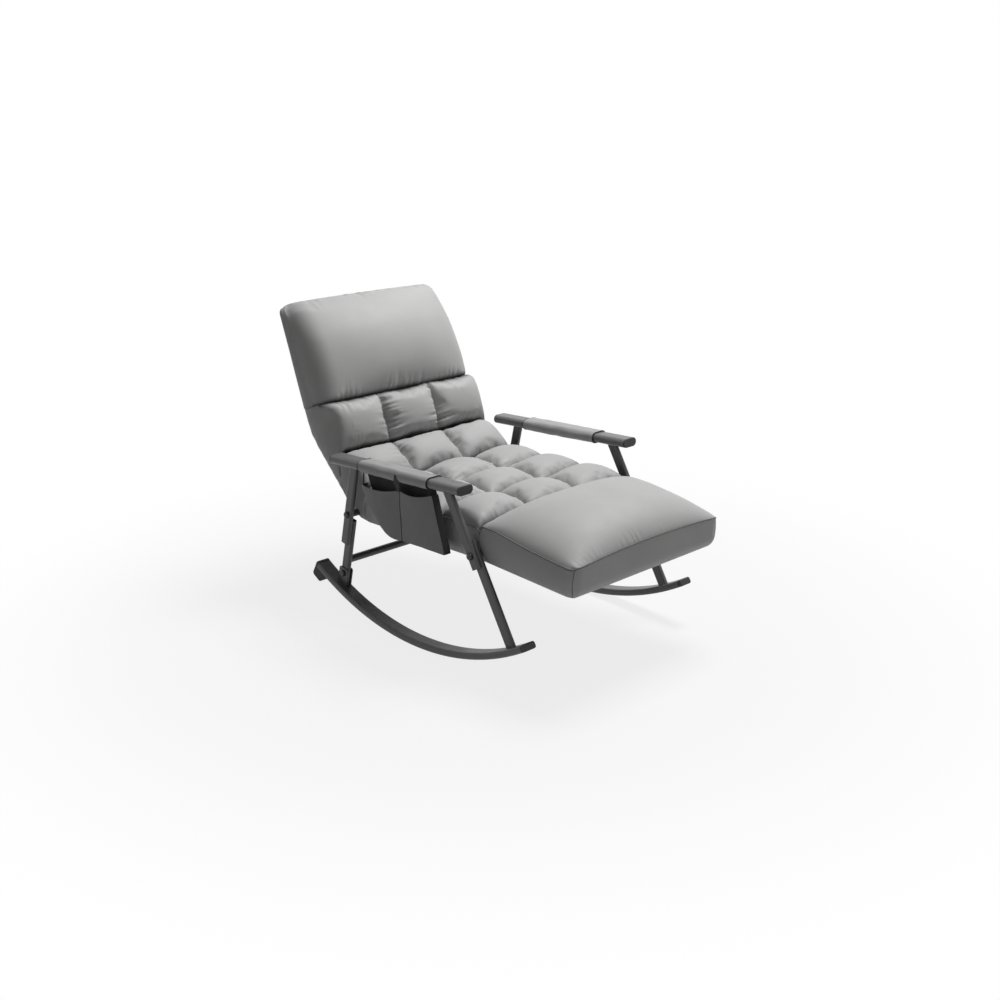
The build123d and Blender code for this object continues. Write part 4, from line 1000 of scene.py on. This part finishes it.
# Sewing thread: twisted thread, seen as pale dashes along the two lengthwise seams; the pale colour
# is partly the thread's own and partly painted highlight on the seam's ridge.
# Each stitch is one flattened bead laid along the seam, at an even pitch.
STITCH_SIZE = (0.0011, 0.0028, 0.0011)
STITCH_PITCH, STITCH_LIFT = 0.0088, 0.0020
FIRST_STITCH, LAST_STITCH, STITCH_REACH = 0.006, 0.004, 0.002
SEAM_SHARES, SEAM_NEAR = (1 / 3, 2 / 3), 1e-3
# Pale thread, partly its own colour and partly a painted highlight where the seam's ridge catches
# the light
thread_and_highlight = upholstery(
    "seam_thread_and_highlight", dark=(0.52, 0.52, 0.515), light=(0.62, 0.62, 0.615),
    roughness=0.6, grain=2500.0, depth=0.0002,
)


def stitches(name, pad):
    bpy.ops.object.select_all(action="DESELECT")
    bpy.ops.mesh.primitive_uv_sphere_add(segments=6, ring_count=5, radius=1)
    bead = bpy.context.object
    bead.name = name
    shape = points_of(bead) * STITCH_SIZE
    faces = [tuple(polygon.vertices) for polygon in bead.data.polygons]
    points, sides = [], []
    for seam in SEAM_SHARES:
        path = np.array(edge_path(
            pad,
            lambda u, t, d: (np.abs(u - seam) < SEAM_NEAR) & (d < NEAR),
            lambda u, t, d: t,
            STITCH_LIFT,
        ))
        run = run_along(path)
        for at in np.arange(FIRST_STITCH, run[-1] - LAST_STITCH, STITCH_PITCH):
            back, ahead = (between(at + step, run, path) for step in (-STITCH_REACH, STITCH_REACH))
            heading = Vector(ahead - back).to_track_quat("Y", "Z").to_matrix()
            sides += [tuple(i + len(points) for i in face) for face in faces]
            points += (shape @ np.array(heading).T + (back + ahead) / 2).tolist()
    bead.data.clear_geometry()
    bead.data.from_pydata(points, [], sides)
    bead.data.update()
    bpy.ops.object.shade_smooth()
    bead.data.materials.append(thread_and_highlight)
    return bead


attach(stitches("seat_thread", seat_pad), "base")
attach(stitches("back_thread", back_pad), "backrest")
lumbar_thread = stitches("lumbar_thread", lumbar_pad)
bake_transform(lumbar_thread)

# Base panels: thin dark dust cloth that closes the seat and footrest below and the backrest behind.
# It is stretched over the padding's flat side and stapled along its rim.
PANEL_STEPS, PANEL_WALL = 48, 0.0008
PANEL_LIFT, PANEL_SLACK, PANEL_RIPPLE, PANEL_RIM = 0.0012, 0.0012, 0.0008, 0.04
dust_cloth = upholstery(
    "dust_cloth", dark=(0.030, 0.030, 0.031), light=(0.060, 0.060, 0.061),
    roughness=0.85, grain=1100.0, depth=0.0004,
)


def base_panel(name, node, body, line, away, half):
    """A panel that follows a side-view line, on the side away from another line."""
    panel = cloth_blank(name, PANEL_STEPS, PANEL_STEPS)
    share = points_of(panel)[:, 1] + 0.5
    spot, out = along_line(line, share), outward(line, share, away)
    for vertex, (y, z), (ny, nz), s in zip(panel.data.vertices, spot, out, share):
        inside = min(1, min(s, 1 - s, 0.5 - abs(vertex.co.x)) / PANEL_RIM)
        ripple = noise.noise((vertex.co.x * 5, s * 5, 6.0)) * PANEL_RIPPLE
        lift = PANEL_LIFT + inside * (PANEL_SLACK + ripple)
        vertex.co = (vertex.co.x * 2 * half, y + ny * lift, z + nz * lift)
    cloth_wall(panel, PANEL_WALL, 60)
    panel.data.materials.append(dust_cloth)
    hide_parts(node)
    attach(panel, body)


base_panel(
    "seat_dust_cloth", "seat_base_panel", "base",
    line=[(-0.184, 0.2725), (0.212, 0.2641)],
    away=[(-0.184, 0.37), (0.212, 0.36)],
    half=0.2500,
)
base_panel(
    "foot_dust_cloth", "foot_base_panel", "footrest",
    line=[(-0.250, 0.2704), (-0.498, 0.2582)],
    away=[(-0.250, 0.37), (-0.498, 0.34)],
    half=0.2480,
)
base_panel(
    "back_dust_cloth", "back_panel", "backrest",
    line=[(0.2980, 0.2992), (0.4280, 0.4256), (0.4570, 0.4600), (0.4769, 0.5044),
          (0.4832, 0.5235), (0.5560, 0.7390), (0.5630, 0.7600)],
    away=[(0.3315, 0.4300), (0.3760, 0.5590), (0.4640, 0.7060)],
    half=0.2480,
)

# Webbing: black woven straps stretched across the seat, back and footrest frames.
# They carry the padding, are fixed to the tubes at both ends and don't show.
weave, weave_in, weave_out = effect("webbing_weave", {"Thread": 900.0}, ["Height", "Tone"])
weave_place = weave.nodes.new("ShaderNodeTexCoord").outputs["Object"]
ribs = []
for axis in ("X", "Y"):
    rib = weave.nodes.new("ShaderNodeTexWave")
    rib.bands_direction = axis
    weave.links.new(weave_place, rib.inputs["Vector"])
    weave.links.new(weave_in.outputs["Thread"], rib.inputs["Scale"])
    ribs.append(rib.outputs["Fac"])
weave.links.new(arithmetic(weave, "MULTIPLY", *ribs), weave_out.inputs["Height"])
weave.links.new(arithmetic(weave, "MAXIMUM", *ribs), weave_out.inputs["Tone"])
strap_cloth, tree, shader = plain_material("strap_cloth", (0.02, 0.02, 0.021), 0.85)
woven = use_effect(tree, weave)
tone = blended_colour(tree, woven["Tone"], (0.012, 0.012, 0.012), (0.035, 0.035, 0.036))
tree.links.new(tone, shader.inputs["Base Color"])
bump(tree, shader, woven["Height"], 0.4, 0.0004)
dress(strap_cloth, "seat_webbing", "back_webbing", "foot_webbing")

# Studio: a pale painted floor that fades to white, under a white backdrop.
# One large soft lamp hangs above and a very weak one fills from the front.
FLOOR_SIZE, FLOOR_GREY = 14, (0.64, 0.64, 0.64)
FADE_START, FADE_END, FADE_LEAST = 0.55, 1.6, 0.82
BACKDROP_LIGHT = 0.09
AIM = (0, 0, 0.4)


def seen_plainly(tree):
    """1 for what the camera sees, straight or in a reflection, and 0 for light that bounces."""
    ray = tree.nodes.new("ShaderNodeLightPath")
    return arithmetic(tree, "MAXIMUM", ray.outputs["Is Camera Ray"], ray.outputs["Is Glossy Ray"])


bpy.ops.object.select_all(action="DESELECT")
bpy.ops.mesh.primitive_plane_add(size=FLOOR_SIZE)
floor = bpy.context.object
floor.name = "studio_floor"
floor_paint, tree, shader = plain_material("floor_paint", FLOOR_GREY, 0.9)
place = tree.nodes.new("ShaderNodeTexCoord")
fade = tree.nodes.new("ShaderNodeMapRange")
fade.interpolation_type = "SMOOTHSTEP"
fade.inputs["From Min"].default_value = FADE_START
fade.inputs["From Max"].default_value = FADE_END
fade.inputs["To Min"].default_value = FADE_LEAST
tree.links.new(distance(tree, place.outputs["Object"]), fade.inputs["Value"])
glow = tree.nodes.new("ShaderNodeEmission")
glow.inputs["Color"].default_value = (1, 1, 1, 1)
mix = tree.nodes.new("ShaderNodeMixShader")
white = arithmetic(tree, "MULTIPLY", fade.outputs["Result"], seen_plainly(tree))
tree.links.new(white, mix.inputs["Fac"])
tree.links.new(shader.outputs["BSDF"], mix.inputs[1])
tree.links.new(glow.outputs["Emission"], mix.inputs[2])
tree.links.new(mix.outputs["Shader"], tree.nodes["Material Output"].inputs["Surface"])
floor.data.materials.append(floor_paint)

world = bpy.data.worlds.new("studio")
scene.world = world
world.use_nodes = True
tree = world.node_tree
backdrop = tree.nodes["Background"]
backdrop.inputs["Color"].default_value = (1, 1, 1, 1)
strength = arithmetic(
    tree, "MULTIPLY_ADD", seen_plainly(tree), 1 - BACKDROP_LIGHT, BACKDROP_LIGHT
)
tree.links.new(strength, backdrop.inputs["Strength"])


def soft_lamp(name, at, size, power):
    bpy.ops.object.light_add(type="AREA", location=at)
    lamp = bpy.context.object
    lamp.name = name
    lamp.data.size = size
    lamp.data.energy = power
    lamp.rotation_euler = (Vector(AIM) - Vector(at)).to_track_quat("-Z", "Y").to_euler()


soft_lamp("key_lamp", (1.05, -0.15, 3.05), size=1.2, power=94)
soft_lamp("fill_lamp", (-0.2, -3.0, 2.4), size=2.4, power=0.9)

# Camera: at the photograph's viewing point, in front of the chair's right arm.
# It is held level and looks down at eighteen degrees.
CAMERA_PLACE = (-2.281, -2.336, 1.383)
YAW, PITCH = radians(-44.38), radians(18.065)
bpy.ops.object.camera_add(location=CAMERA_PLACE)
camera = bpy.context.object
ahead = Vector((-sin(YAW) * cos(PITCH), cos(YAW) * cos(PITCH), -sin(PITCH)))
camera.rotation_euler = ahead.to_track_quat("-Z", "Y").to_euler()
camera.data.sensor_width = 36.0
camera.data.lens = 46.98
scene.camera = camera
